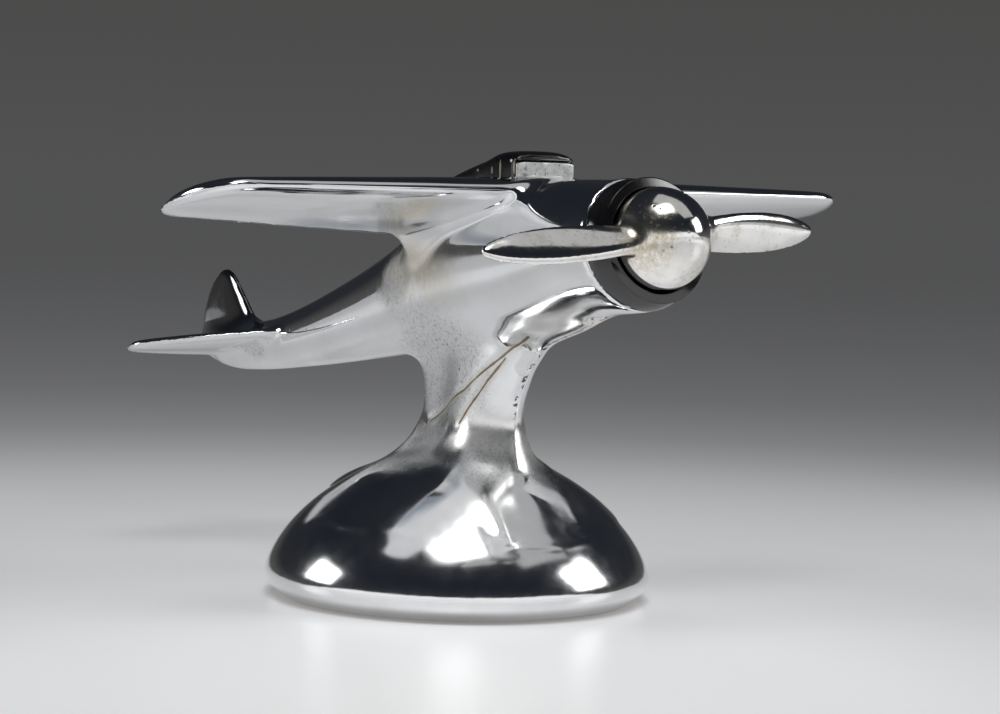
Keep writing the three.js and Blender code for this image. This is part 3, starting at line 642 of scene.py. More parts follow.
# ------------------------------------------------------------------ propeller (turns with the shaft)
REST = math.radians(3.5)
spin_prof = np.array([[0, 4.4], [9.0, 4.4], [9.2, 4.7], [9.3, 5.6], [9.35, 6.8], [9.2, 8.2], [8.75, 9.6], [8.1, 11.0], [7.15, 12.4], [5.9, 13.8], [4.3, 15.0], [2.2, 16.05], [0, 16.4]])
spin_f = rev(fine_profile(spin_prof))
bl = np.array([[3, 6.8, 42, 8.7, 1.9], [8, 6.8, 38, 8.7, 1.7], [12, 7.2, 33, 8.5, 1.5], [17, 7.6, 28, 7.9, 1.3], [22, 7.5, 24, 7.1, 1.15], [27, 6.8, 20, 6.2, 1.0], [31, 5.6, 18, 5.5, 0.85], [34, 4.1, 16, 4.9, 0.72], [36, 2.4, 15, 4.6, 0.6], [37, 0.9, 15, 4.45, 0.5]])
b_c, b_p, b_f, b_h = (spline(bl[:, 0], bl[:, i]) for i in (1, 2, 3, 4))


def blade_d(x, m_, s, side):
    cr, sr = math.cos(REST), math.sin(REST)
    a = side * (cr * x + sr * m_)           # along the blade
    b = side * (cr * m_ - sr * x)           # in the plane, towards the leading edge
    r = np.clip(a, 3, 37)
    p = np.radians(b_p(r)); c = b_c(r) / 2; h = b_h(r); f0 = b_f(r)
    u = b * np.cos(p) + (s - f0) * np.sin(p)
    v = (s - f0) * np.cos(p) - b * np.sin(p)
    # fuller towards the leading edge
    hh = h * (1.0 + 0.25 * np.clip(u / c, -1, 1))
    q = ((np.abs(u) / c) ** 1.9 + (np.abs(v) / hh) ** 1.9) ** (1 / 1.9)
    # distance from the shape q = 1, by the ellipse's own gradient
    gx = np.abs(u) / (c * c); gy = np.abs(v) / (hh * hh)
    gn = np.sqrt(gx * gx + gy * gy) / np.maximum(q, 1e-4)
    d = (q - 1) / np.maximum(gn, 1e-3)
    d = np.clip(d, -2.2, 8)
    return smax(smax(d, a - 36.9, 0.6), 2.0 - a, 0.5)


def prop_d(P):
    x, m_, s = shaft_coords(P)
    rho = np.hypot(x, m_)
    d = spin_f(rho, s)
    bb = np.minimum(blade_d(x, m_, s, 1), blade_d(x, m_, s, -1))
    d = smin(d, bb, 1.6)
    return np.maximum(d, -np.maximum(rho - 2.3, s - 11.9))


c_lo = NOSE + 17 * N; pc = 0.36
V, Q, _ = surface_net(prop_d, (-39, -76, 64), (39, -58, 90), (pc, pc, pc))
prop = make_mesh("spinner_and_blades", V, Q, smooth_normals(V, Q, 3))
print("propeller", len(V), len(Q), round(time.time() - _t0, 1), "s")
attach(prop, "propeller_assembly"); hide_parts("propeller")


# ------------------------------------------------------------------ turned pieces
def lathe(name, prof, to_world, segs=160, closed=True):
    prof = np.asarray(prof, float); n = len(prof)
    a = np.arange(segs) / segs * 2 * math.pi
    pts = np.stack([np.outer(np.cos(a), prof[:, 0]), np.outer(np.sin(a), prof[:, 0]), np.broadcast_to(prof[:, 1], (segs, n))], -1).reshape(-1, 3)
    W = to_world(pts)
    q = []
    m = n if closed else n - 1
    for i in range(segs):
        j = (i + 1) % segs
        for k in range(m):
            l = (k + 1) % n
            q.append((i * n + k, j * n + k, j * n + l, i * n + l))
    return make_mesh(name, W, np.array(q))


def to_shaft(p):
    # x stays, local y is up in the engine frame, local z is forward; mirrored so that faces look outwards
    return NOSE + np.outer(p[:, 0], [1, 0, 0]) + np.outer(-p[:, 1], M) + np.outer(p[:, 2], N)


outer = fine_profile(np.array([[11.95, 0.3], [12.12, 0.62], [12.02, 1.5], [11.72, 2.6], [11.25, 3.6], [10.68, 4.5], [10.28, 5.05], [9.95, 5.38]]), 5, 0)
outer = outer[:-1]
ring_prof = np.vstack([[[8.3, 0.3]], outer, [[9.86, 5.45], [9.76, 5.47], [9.68, 5.42], [9.64, 5.25], [9.64, 3.45], [9.54, 3.3], [8.3, 3.3]]])
ring = lathe("cowl_collar", ring_prof, to_shaft, 192)
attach(ring, "airframe"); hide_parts("cowl_ring")


# ------------------------------------------------------------------ canopy and windscreen
def canopy_piece(P):
    d = canopy_vol(P)
    d = np.maximum(d, np.maximum(canopy2d(P) , -1e9))
    # step that takes the windscreen plate
    step = np.maximum(np.maximum(P[:, 1] + 26.1, 82.5 - P[:, 2]), P[:, 2] - 86.3)
    d = smax(d, -step, 0.25)
    for y in (-18.0, 3.0):
        d = np.maximum(d, -cyl(P, np.array([0, y, seat(y)]), pin_n, 1.5, -0.5, 3.3))
    return d


cc = 0.4
V, Q, _ = surface_net(canopy_piece, (-8.5, -28.5, 67), (8.5, 21, 89.5), (cc, cc, cc))
cp = make_mesh("canopy_shell", V, Q, smooth_normals(V, Q, 2))
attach(cp, "airframe"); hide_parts("canopy")


def screen_d(P):
    ax = np.abs(P[:, 0])
    # hand-filed plate with rounded upper corners and a slightly dished face
    top = 86.0 - 0.35 * np.clip((ax - 4.6) / 2.0, 0, 1) ** 2
    d = np.maximum(ax - 6.55, np.maximum(82.8 - P[:, 2], P[:, 2] - top))
    face = -26.88 + 0.05 * np.sin(P[:, 0] * 1.1) * np.sin(P[:, 2] * 1.7)
    d2 = np.maximum(face - P[:, 1], P[:, 1] + 26.42)
    return smax(d, d2, 0.16)


sc_ = 0.13
V, Q, _ = surface_net(screen_d, (-7, -27.2, 82.4), (7, -26.1, 86.4), (sc_ * 1.6, sc_, sc_ * 1.6))
ws = make_mesh("windscreen_plate", V, Q, smooth_normals(V, Q, 2))
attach(ws, "airframe"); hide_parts("windscreen")

# ------------------------------------------------------------------ materials
def rgb(r, g, b):
    return (r, g, b, 1.0)


class Nodes:
    def __init__(self, name):
        self.mat = bpy.data.materials.new(name)
        self.mat.use_nodes = True
        self.t = self.mat.node_tree
        self.bsdf = next(n for n in self.t.nodes if n.type == 'BSDF_PRINCIPLED')
        self.co = self.t.nodes.new("ShaderNodeTexCoord").outputs["Object"]

    def new(self, kind, **kw):
        n = self.t.nodes.new(kind)
        for k, v in kw.items():
            setattr(n, k, v)
        return n

    def link(self, a, b):
        self.t.links.new(a, b)

    def inp(self, node, name, v):
        s = node.inputs[name]
        if hasattr(v, "links"):
            self.link(v, s)
        else:
            s.default_value = v

    def set(self, name, v):
        self.inp(self.bsdf, name, v)

    def noise(self, scale, detail=3, rough=0.55, distortion=0.0, co=None, out="Fac"):
        n = self.new("ShaderNodeTexNoise")
        self.link(co or self.co, n.inputs["Vector"])
        n.inputs["Scale"].default_value = scale
        n.inputs["Detail"].default_value = detail
        n.inputs["Roughness"].default_value = rough
        n.inputs["Distortion"].default_value = distortion
        return n.outputs[out]

    def voronoi(self, scale, feature='F1', rand=1.0, out="Distance", co=None):
        n = self.new("ShaderNodeTexVoronoi", feature=feature)
        self.link(co or self.co, n.inputs["Vector"])
        n.inputs["Scale"].default_value = scale
        n.inputs["Randomness"].default_value = rand
        return n.outputs[out]

    def ramp(self, fac, a, b, lo=0.0, hi=1.0, smooth=True):
        n = self.new("ShaderNodeMapRange", interpolation_type='SMOOTHSTEP' if smooth else 'LINEAR')
        self.link(fac, n.inputs["Value"])
        for k, v in (("From Min", a), ("From Max", b), ("To Min", lo), ("To Max", hi)):
            n.inputs[k].default_value = v
        return n.outputs["Result"]

    def math(self, op, a, b=None, clamp=False):
        n = self.new("ShaderNodeMath", operation=op, use_clamp=clamp)
        for i, v in enumerate((a, b)):
            if v is None:
                continue
            if hasattr(v, "links"):
                self.link(v, n.inputs[i])
            else:
                n.inputs[i].default_value = v
        return n.outputs[0]

    def mix(self, fac, a, b):
        n = self.new("ShaderNodeMix", data_type='RGBA')
        for i, v in ((0, fac), (6, a), (7, b)):
            if hasattr(v, "links"):
                self.link(v, n.inputs[i])
            else:
                n.inputs[i].default_value = v
        return n.outputs[2]

    def blob(self, p, r, soft=0.35, wob=None, amp=0.35, stretch=(1, 1, 1)):
        """A patch of radius r (mm) round a point (mm), its edge made ragged by wob."""
        s = self.new("ShaderNodeVectorMath", operation='SUBTRACT')
        self.link(self.co, s.inputs[0]); s.inputs[1].default_value = [c * MM for c in p]
        q = self.new("ShaderNodeVectorMath", operation='MULTIPLY')
        self.link(s.outputs[0], q.inputs[0]); q.inputs[1].default_value = [1 / k for k in stretch]
        l = self.new("ShaderNodeVectorMath", operation='LENGTH')
        self.link(q.outputs[0], l.inputs[0])
        d = l.outputs["Value"]
        if wob is not None:
            d = self.math('ADD', d, self.math('MULTIPLY', self.math('SUBTRACT', wob, 0.5), r * MM * amp * 2))
        return self.ramp(d, r * MM * (1 - soft), r * MM, 1.0, 0.0)

    def most(self, *fs):
        out = fs[0]
        for f in fs[1:]:
            out = self.math('MAXIMUM', out, f)
        return out

    def bump(self, h, strength, dist, normal=None):
        n = self.new("ShaderNodeBump")
        n.inputs["Strength"].default_value = strength
        n.inputs["Distance"].default_value = dist * MM
        self.link(h, n.inputs["Height"])
        if normal is not None:
            self.link(normal, n.inputs["Normal"])
        return n.outputs[0]

    def xyz(self):
        n = self.new("ShaderNodeSeparateXYZ")
        self.link(self.co, n.inputs[0])
        return n.outputs


def chrome_mat():
    k = Nodes("chrome_worn")
    X_, Y_, Z_ = k.xyz()
    ab = k.math('ABSOLUTE', X_)
    cloud = k.noise(70, 4, 0.6)
    fine = k.noise(420, 4, 0.65)
    grain = k.noise(1700, 3, 0.7)
    grime = k.noise(160, 5, 0.7, 0.6)

    def both(p, r, soft=0.7, wob=None, amp=0.4, st=(1, 1, 1)):
        """The same patch on both sides."""
        return k.most(k.blob((-p[0], p[1], p[2]), r, soft, wob, amp, st), k.blob(p, r, soft, wob, amp, st))

    # yellow-brown film on the fuselage side under the wing
    film = k.math('MULTIPLY', both((10.5, 2, 65), 17, 0.85, cloud, 0.5, (0.8, 1.5, 0.62)), k.ramp(cloud, 0.3, 0.58))
    # dull, finely pitted plating on the pedestal's web, round the stem's foot and behind the wing root
    web = k.most(both((5, -1, 46), 17, 0.5, grime, 0.3, (0.9, 1.15, 1.0)), both((8, 2, 29), 15, 0.6, grime, 0.4, (1.2, 1.3, 0.55)), both((8, 12, 62), 9, 0.7, grime, 0.5),
                 both((5, 78, 44), 7, 0.7, grime, 0.5, (0.8, 1.2, 0.6)))
    foot = both((4, -17, 28), 9, 0.7, grime, 0.5, (1.1, 1, 0.9))
    hazy = k.most(both((4, -15, 32), 11, 0.85, cloud, 0.2, (1, 1, 0.9)), k.math('MULTIPLY', both((3, -40, 58), 15, 0.8, cloud, 0.4), 0.7), k.math('MULTIPLY', both((9, -22, 22), 10, 0.8, cloud, 0.4), 0.45))
    # painted dark reflection: the fin's sides are darkened in colour to show the dark room they mirror
    fin_painted_dark_reflection = k.blob((0, 97, 54), 15, 0.35, None, 0, (0.6, 1.0, 0.8))
    # painted reflection: dark bluish patch on the wing's underside near the root
    underwing_painted_reflection = both((27, -5, 72.8), 16, 0.85, cloud, 0.4, (1.4, 0.6, 0.6))
    low = k.ramp(Z_, 0.019, 0.026, 1, 0)
    dull = k.most(web, k.math('MULTIPLY', foot, 0.8))
    speck = k.ramp(grain, 0.5, 0.64)
    # drawn lines where the struts were filed into the stem
    lines = None
    for pts in (STRUT_A, STRUT_B):
        for (ay, az), (by, bz) in zip(pts[:-1], pts[1:]):
            ey, ez = (by - ay) * MM, (bz - az) * MM
            L2 = ey * ey + ez * ez
            py = k.math('SUBTRACT', Y_, ay * MM); pz = k.math('SUBTRACT', Z_, az * MM)
            t = k.math('DIVIDE', k.math('ADD', k.math('MULTIPLY', py, ey), k.math('MULTIPLY', pz, ez)), L2, True)
            dy = k.math('SUBTRACT', py, k.math('MULTIPLY', t, ey)); dz = k.math('SUBTRACT', pz, k.math('MULTIPLY', t, ez))
            d = k.math('SQRT', k.math('ADD', k.math('MULTIPLY', dy, dy), k.math('MULTIPLY', dz, dz)))
            lines = d if lines is None else k.math('MINIMUM', lines, d)
    lines = k.math('ADD', lines, k.math('MULTIPLY', k.math('SUBTRACT', fine, 0.5), 0.00035))
    side_on = k.math('MULTIPLY', k.ramp(ab, 0.0012, 0.002), k.ramp(ab, 0.0095, 0.0105, 1, 0))
    core = k.math('MULTIPLY', k.ramp(lines, 0.00008, 0.00028, 1, 0), side_on)
    halo = k.math('MULTIPLY', k.ramp(lines, 0.0002, 0.0012, 1, 0), side_on)
    # mould seam down the front of the stem, pitted above and raised below
    on_seam = k.math('MULTIPLY', k.ramp(Y_, -0.010, -0.014), k.math('MULTIPLY', k.ramp(Z_, 0.0265, 0.030), k.ramp(Z_, 0.056, 0.060, 1, 0)))
    seam = k.math('MULTIPLY', k.ramp(k.math('ADD', ab, k.math('MULTIPLY', k.math('SUBTRACT', fine, 0.5), 0.0004)), 0.00012, 0.00042, 1, 0), on_seam)
    seam_pits = k.math('MULTIPLY', k.math('MULTIPLY', k.ramp(ab, 0.00025, 0.0007, 1, 0), on_seam), k.math('MULTIPLY', k.ramp(k.noise(900, 2), 0.52, 0.58), k.ramp(Z_, 0.036, 0.038)))
    # brown edge along the rear of the stem and round the mould line under the tail
    rear = k.math('MULTIPLY', k.ramp(ab, 0.0006, 0.0018, 1, 0), k.math('MULTIPLY', k.math('MULTIPLY', k.ramp(Y_, 0.008, 0.011), k.ramp(Y_, 0.03, 0.036, 1, 0)), k.math('MULTIPLY', k.ramp(Z_, 0.034, 0.038), k.ramp(Z_, 0.049, 0.053, 1, 0))))
    cell = k.voronoi(620, out="Distance")
    pits = k.math('MULTIPLY', k.ramp(cell, 0.08, 0.18, 1, 0), k.ramp(k.noise(230, 2, 0.5), 0.54, 0.6))
    zone = k.most(web, k.math('MULTIPLY', both((0, -48, 57), 16, 0.7, cloud, 0.4), 0.8), both((4, 60, 46), 30, 0.8, cloud, 0.4, (1, 1, 0.5)))
    pits = k.most(k.math('MULTIPLY', pits, zone), seam_pits)
    orange = k.most(both((6, 1.5, 35.3), 2.0, 0.5, fine, 0.6), k.math('MULTIPLY', k.blob((0, -45.2, 56.2), 2.6, 0.5, fine, 0.5), 0.9))
    col = k.mix(k.ramp(cloud, 0.3, 0.7), rgb(0.88, 0.885, 0.895), rgb(0.81, 0.815, 0.82))
    col = k.mix(k.math('MULTIPLY', film, 0.6), col, rgb(0.62, 0.53, 0.38))
    # the underside's painted dark reflection
    col = k.mix(k.math('MULTIPLY', underwing_painted_reflection, 0.8), col, rgb(0.22, 0.27, 0.33))
    # the fin's painted dark reflection
    col = k.mix(k.math('MULTIPLY', fin_painted_dark_reflection, 0.85), col, rgb(0.20, 0.205, 0.215))
    col = k.mix(k.math('MULTIPLY', hazy, 0.3), col, rgb(0.66, 0.62, 0.55))
    col = k.mix(k.math('MULTIPLY', dull, 0.35), col, rgb(0.50, 0.51, 0.50))
    col = k.mix(k.math('MULTIPLY', k.math('MULTIPLY', dull, speck), 0.6), col, rgb(0.30, 0.31, 0.29))
    col = k.mix(k.math('MULTIPLY', k.math('MULTIPLY', dull, k.ramp(grime, 0.55, 0.7)), 0.4), col, rgb(0.55, 0.46, 0.28))
    col = k.mix(k.math('MULTIPLY', halo, 0.25), col, rgb(0.55, 0.45, 0.28))
    col = k.mix(k.math('MULTIPLY', core, 0.85), col, rgb(0.16, 0.115, 0.06))
    col = k.mix(k.math('MULTIPLY', rear, 0.7), col, rgb(0.40, 0.31, 0.18))
    col = k.mix(k.math('MULTIPLY', orange, 0.8), col, rgb(0.50, 0.27, 0.07))
    col = k.mix(k.math('MULTIPLY', pits, 0.9), col, rgb(0.045, 0.033, 0.02))
    k.set("Base Color", col)
    k.bsdf.inputs["Metallic"].default_value = 1.0
    rough = k.ramp(fine, 0.3, 0.8, 0.05, 0.105)
    for m, v in ((film, 0.22), (dull, 0.30), (hazy, 0.2), (low, 0.055), (halo, 0.12), (core, 0.2), (orange, 0.25), (rear, 0.2), (pits, 0.4)):
        rough = k.math('ADD', rough, k.math('MULTIPLY', m, v))
    rough = k.math('MINIMUM', rough, 0.75)
    k.set("Roughness", rough)
    h = k.math('MULTIPLY', k.noise(55, 2, 0.5), 0.8)
    h = k.math('SUBTRACT', h, k.math('MULTIPLY', pits, 1.0))
    h = k.math('SUBTRACT', h, k.math('MULTIPLY', core, 1.6))
    h = k.math('ADD', h, k.math('MULTIPLY', seam, 1.1))
    n1 = k.bump(h, 0.4, 0.12)
    h2 = k.math('ADD', k.math('MULTIPLY', fine, 0.5), k.math('MULTIPLY', k.math('MULTIPLY', grain, dull), 1.6))
    n2 = k.bump(h2, 0.2, 0.03, n1)
    k.set("Normal", n2)
    return k.mat


def enamel_mat(name, chips_and_edge_glints):
    k = Nodes(name)
    cloud = k.noise(120, 3, 0.6)
    rag = k.noise(900, 4, 0.7)
    orange = k.noise(260, 2, 0.4)
    chip_and_glint_mask = None
    # bare-metal patches: real chips, and on the canopy also stretched patches that paint the highlight of its front
    # edge
    for p, r, *st in chips_and_edge_glints:
        b = k.blob(p, r, 0.25, rag, 0.55, st[0] if st else (1, 1, 1))
        chip_and_glint_mask = b if chip_and_glint_mask is None else k.math('MAXIMUM', chip_and_glint_mask, b)
    speck = k.math('MULTIPLY', k.ramp(k.voronoi(480), 0.08, 0.14, 1, 0), k.ramp(k.noise(190, 2), 0.6, 0.66))
    chip_and_glint_mask = k.math('MAXIMUM', chip_and_glint_mask, speck)
    dust = k.math('MULTIPLY', k.ramp(k.noise(1500, 3, 0.7), 0.6, 0.75), 0.25)
    col = k.mix(k.ramp(cloud, 0.35, 0.7), rgb(0.006, 0.006, 0.007), rgb(0.014, 0.013, 0.012))
    col = k.mix(dust, col, rgb(0.12, 0.10, 0.08))
    col = k.mix(chip_and_glint_mask, col, k.mix(k.noise(700, 2), rgb(0.52, 0.47, 0.38), rgb(0.28, 0.22, 0.15)))
    k.set("Base Color", col)
    k.set("Metallic", k.math('MULTIPLY', chip_and_glint_mask, 0.8))
    k.set("Roughness", k.math('ADD', k.ramp(cloud, 0.3, 0.7, 0.07, 0.15), k.math('MULTIPLY', chip_and_glint_mask, 0.25)))
    k.bsdf.inputs["Specular IOR Level"].default_value = 0.85
    h = k.math('SUBTRACT', k.math('MULTIPLY', orange, 0.5), chip_and_glint_mask)
    k.set("Normal", k.bump(h, 0.3, 0.06))
    return k.mat


def bare_plate(name, base, dark, amount, rough, scale):
    k = Nodes(name)
    cloud = k.noise(110 * scale, 4, 0.6)
    mott = k.noise(420 * scale, 5, 0.75)
    sp = k.ramp(k.voronoi(760 * scale), 0.12, 0.3, 1, 0)
    sp = k.math('MULTIPLY', sp, k.ramp(k.noise(260 * scale, 3), 0.62 - 0.25 * amount, 0.72 - 0.25 * amount))
    blot = k.math('MULTIPLY', k.ramp(mott, 0.5, 0.66), k.ramp(cloud, 0.35, 0.6))
    m = k.math('MAXIMUM', sp, k.math('MULTIPLY', blot, amount))
    col = k.mix(k.ramp(cloud, 0.3, 0.7), rgb(*base), rgb(*(c * 0.72 for c in base)))
    col = k.mix(k.ramp(mott, 0.42, 0.6), col, rgb(*(c * 0.8 for c in base)))
    col = k.mix(m, col, rgb(*dark))
    k.set("Base Color", col)
    k.bsdf.inputs["Metallic"].default_value = 1.0
    k.set("Roughness", k.math('ADD', k.ramp(mott, 0.3, 0.7, rough * 0.7, rough * 1.3), k.math('MULTIPLY', m, 0.3), True))
    k.set("Normal", k.bump(k.math('SUBTRACT', mott, m), 0.45, 0.07))
    return k.mat


def prop_worn():
    k = Nodes("propeller_worn")
    cloud = k.noise(230, 4, 0.6)
    mott = k.noise(950, 5, 0.75)
    rag = k.noise(520, 4, 0.7)
    film = k.most(k.blob((-7.0, -68.6, 73.2), 8.5, 0.8, rag, 0.35), k.math('MULTIPLY', k.blob((-8.6, -64.4, 76.0), 6.5, 0.8, rag, 0.4), 0.9), k.math('MULTIPLY', k.blob((6.5, -69, 70), 8, 0.8, rag, 0.4), 0.6))
    tarn = k.math('MULTIPLY', k.ramp(cloud, 0.52, 0.68), 0.5)
    zone = k.most(k.blob((-5.6, -67.0, 79.0), 6, 0.7, rag, 0.5), k.math('MULTIPLY', k.blob((-3.5, -71.5, 73.6), 4.5, 0.8, rag, 0.5), 0.8), k.math('MULTIPLY', k.blob((7, -67, 77), 6, 0.7, rag, 0.5), 0.7))
    pits = k.math('MULTIPLY', k.ramp(k.voronoi(820), 0.14, 0.34, 1, 0), k.ramp(k.noise(330, 3), 0.40, 0.50))
    pits = k.math('MULTIPLY', pits, k.math('MAXIMUM', zone, 0.15))
    col = k.mix(k.ramp(cloud, 0.3, 0.7), rgb(0.93, 0.92, 0.90), rgb(0.84, 0.83, 0.80))
    col = k.mix(k.math('MULTIPLY', tarn, k.ramp(mott, 0.4, 0.6)), col, rgb(0.58, 0.52, 0.38))
    col = k.mix(k.math('MULTIPLY', k.math('MULTIPLY', film, k.ramp(mott, 0.36, 0.58)), 0.7), col, rgb(0.52, 0.42, 0.22))
    col = k.mix(pits, col, rgb(0.035, 0.028, 0.022))
    k.set("Base Color", col)
    k.bsdf.inputs["Metallic"].default_value = 1.0
    rough = k.ramp(mott, 0.3, 0.7, 0.06, 0.12)
    for m, v in ((film, 0.13), (tarn, 0.10), (pits, 0.35)):
        rough = k.math('ADD', rough, k.math('MULTIPLY', m, v))
    k.set("Roughness", k.math('MINIMUM', rough, 0.7))
    h = k.math('SUBTRACT', k.math('MULTIPLY', mott, k.math('ADD', k.math('MULTIPLY', film, 0.8), 0.15)), pits)
    k.set("Normal", k.bump(h, 0.4, 0.05))
    return k.mat


def simple_metal(name, base, rough, tint, scale=300):
    k = Nodes(name)
    n = k.noise(scale, 4, 0.65); g = k.noise(scale * 4, 3, 0.6)
    k.set("Base Color", k.mix(k.ramp(n, 0.35, 0.68), rgb(*base), rgb(*tint)))
    k.bsdf.inputs["Metallic"].default_value = 1.0
    k.set("Roughness", k.ramp(g, 0.3, 0.7, rough * 0.75, rough * 1.3))
    k.set("Normal", k.bump(g, 0.25, 0.03))
    return k.mat


def felt_mat():
    k = Nodes("felt_pad")
    f = k.noise(2600, 5, 0.8); c = k.noise(300, 3, 0.6)
    fib = k.noise(5200, 2, 0.5, 2.0)
    k.set("Base Color", k.mix(k.ramp(c, 0.35, 0.65), rgb(0.045, 0.028, 0.018), rgb(0.075, 0.05, 0.034)))
    k.set("Roughness", k.ramp(f, 0.3, 0.7, 0.85, 1.0))
    k.set("Normal", k.bump(k.math('ADD', f, fib), 0.8, 0.12))
    return k.mat


chrome = chrome_mat()
ring_mat = enamel_mat("ring_enamel", [((-11.9, -59.5, 66.6), 0.9), ((-11.2, -60.6, 63.9), 0.7), ((-9.8, -60.9, 62.4), 0.8), ((-8.8, -62.0, 62.0), 0.6), ((-11.4, -61.8, 71.0), 0.35), ((-12.1, -58.4, 76.8), 0.35)])
# canopy: the stretched patches along the near front edge are painted highlight for a rounded edge, the others are real
# chips
canopy_mat = enamel_mat("canopy_enamel", [((-6.6, -4.5, 83.8), 0.7), ((-6.3, 0.5, 83.5), 0.55), ((-7.0, -14.1, 84.2), 0.4), ((-7.0, -19.2, 84.2), 0.35, (1, 1, 2.2)), ((-6.95, -22.0, 84.4), 0.42, (1, 0.8, 4.5)), ((-6.7, -26.3, 85.0), 0.4, (1, 1, 5.0)), ((6.5, -10, 84.5), 0.6), ((2.5, 10, 81.5), 0.5)])
prop_mat = prop_worn()
screen_mat = bare_plate("windscreen_bare", (0.60, 0.61, 0.60), (0.16, 0.155, 0.145), 0.55, 0.4, 2.0)
steel_mat = simple_metal("zinc_steel", (0.42, 0.43, 0.45), 0.35, (0.30, 0.28, 0.25))
brass_mat = simple_metal("bronze_bush", (0.55, 0.38, 0.16), 0.35, (0.34, 0.22, 0.09))
plate_mat = simple_metal("plate_steel", (0.36, 0.36, 0.37), 0.42, (0.22, 0.17, 0.12), 140)
pad_mat = felt_mat()


def give(ob, mat):
    ob.data.materials.clear(); ob.data.materials.append(mat)


give(body, chrome); give(ring, ring_mat); give(cp, canopy_mat); give(prop, prop_mat); give(ws, screen_mat)
for nm, mt in (("canopy_pin_front", steel_mat), ("canopy_pin_rear", steel_mat), ("shaft_bush", brass_mat), ("thrust_washer", brass_mat), ("shaft_set_screw", steel_mat),
               ("base_plate", plate_mat), ("base_plate_screw_1", steel_mat), ("base_plate_screw_2", steel_mat), ("base_plate_screw_3", steel_mat),
               ("stud_insert_front", brass_mat), ("stud_insert_rear", brass_mat), ("base_pad", pad_mat), ("propeller_shaft", steel_mat)):
    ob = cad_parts[nm]
    if len(ob.material_slots) == 0:
        ob.data.materials.append(mt)
    for sl in ob.material_slots:
        sl.link = 'OBJECT'
        sl.material = mt

# ------------------------------------------------------------------ stage
def stage_disc(name, r0, r1, z, rings=24, segs=96):
    rr = np.concatenate([[0.0], np.geomspace(r0, r1, rings)])
    V = [[0, 0, z]]; Q = []
    for r in rr[1:]:
        for j in range(segs):
            a = 2 * math.pi * j / segs
            V.append([r * math.cos(a), r * math.sin(a), z])
    me = bpy.data.meshes.new(name)
    faces = [(0, 1 + j, 1 + (j + 1) % segs) for j in range(segs)]
    for i in range(len(rr) - 2):
        for j in range(segs):
            a = 1 + i * segs + j; b = 1 + i * segs + (j + 1) % segs
            faces.append((a, a + segs, b + segs, b))
    me.from_pydata(V, [], faces)
    ob = bpy.data.objects.new(name, me)
    scene.collection.objects.link(ob)
    return ob


floor = stage_disc("floor", 0.05, 12.0, 0.0)
fm = Nodes("floor_pale")
FRONT = Vector((-0.5565, -0.8309, 0.0))
off = fm.new("ShaderNodeVectorMath", operation='SUBTRACT'); fm.link(fm.co, off.inputs[0]); off.inputs[1].default_value = FRONT * 0.1
geo = fm.new("ShaderNodeVectorMath", operation='LENGTH'); fm.link(off.outputs[0], geo.inputs[0])
dist = geo.outputs["Value"]
cr = fm.new("ShaderNodeValToRGB")
fm.link(fm.ramp(dist, 0.0, 2.0, 0, 1, False), cr.inputs[0])
el = cr.color_ramp.elements
# the lit pool on the table, against the distance from its middle
stops = [(0.0, 0.66), (0.0375, 0.645), (0.055, 0.58), (0.075, 0.515), (0.1025, 0.49), (0.14, 0.417), (0.1625, 0.36), (0.1875, 0.283), (0.2175, 0.216),
         (0.2525, 0.181), (0.294, 0.152), (0.3415, 0.139), (0.4725, 0.122), (0.69, 0.110), (1.0, 0.103)]
el[0].position = 0; el[0].color = rgb(*[stops[0][1]] * 3)
el[1].position = 1; el[1].color = rgb(*[stops[-1][1]] * 3)
for p_, v_ in stops[1:-1]:
    e = el.new(p_); e.color = rgb(v_, v_ * 1.005, v_ * 1.02)
# the table stays bright towards the front and both sides, and falls off only behind
uv = fm.new("ShaderNodeVectorMath", operation='NORMALIZE'); fm.link(fm.co, uv.inputs[0])
dt = fm.new("ShaderNodeVectorMath", operation='DOT_PRODUCT'); fm.link(uv.outputs[0], dt.inputs[0]); dt.inputs[1].default_value = -FRONT
front_mask = fm.math('MULTIPLY', fm.ramp(dt.outputs["Value"], 0.55, 0.86, 1, 0), fm.ramp(dist, 0.2, 0.45, 0, 1))
tone = fm.mix(front_mask, cr.outputs[0], rgb(0.66, 0.665, 0.675))
near = fm.new("ShaderNodeVectorMath", operation='LENGTH'); fm.link(fm.co, near.inputs[0])
# painted contact shadow: the table is darkened in a thin ring under the base's rim
contact_shadow_paint = fm.ramp(near.outputs["Value"], 0.0355, 0.0395, 1, 0)
tone = fm.mix(fm.math('MULTIPLY', contact_shadow_paint, 0.6), tone, rgb(0.10, 0.085, 0.07))
fm.set("Base Color", tone)
fm.set("Emission Color", tone)
fm.bsdf.inputs["Emission Strength"].default_value = 0.66
fm.bsdf.inputs["Roughness"].default_value = 0.32
fm.bsdf.inputs["Specular IOR Level"].default_value = 0.25
floor.data.materials.append(fm.mat)

# ------------------------------------------------------------------ lights
world = bpy.data.worlds.new("studio"); scene.world = world
world.use_nodes = True
wt = world.node_tree
bg = next(n for n in wt.nodes if n.type == 'BACKGROUND')
tc = wt.nodes.new("ShaderNodeTexCoord")
sx = wt.nodes.new("ShaderNodeSeparateXYZ"); wt.links.new(tc.outputs["Generated"], sx.inputs[0])
wr = wt.nodes.new("ShaderNodeValToRGB"); wt.links.new(sx.outputs[2], wr.inputs[0])
we = wr.color_ramp.elements
we[0].position = 0.0; we[0].color = rgb(0.083, 0.083, 0.084)
we[1].position = 1.0; we[1].color = rgb(0.020, 0.022, 0.027)
for p_, c_ in ((0.064, (0.071, 0.070, 0.069)), (0.11, (0.05, 0.05, 0.052)), (0.17, (0.022, 0.024, 0.029)), (0.6, (0.013, 0.016, 0.022))):
    e = we.new(p_); e.color = rgb(*c_)
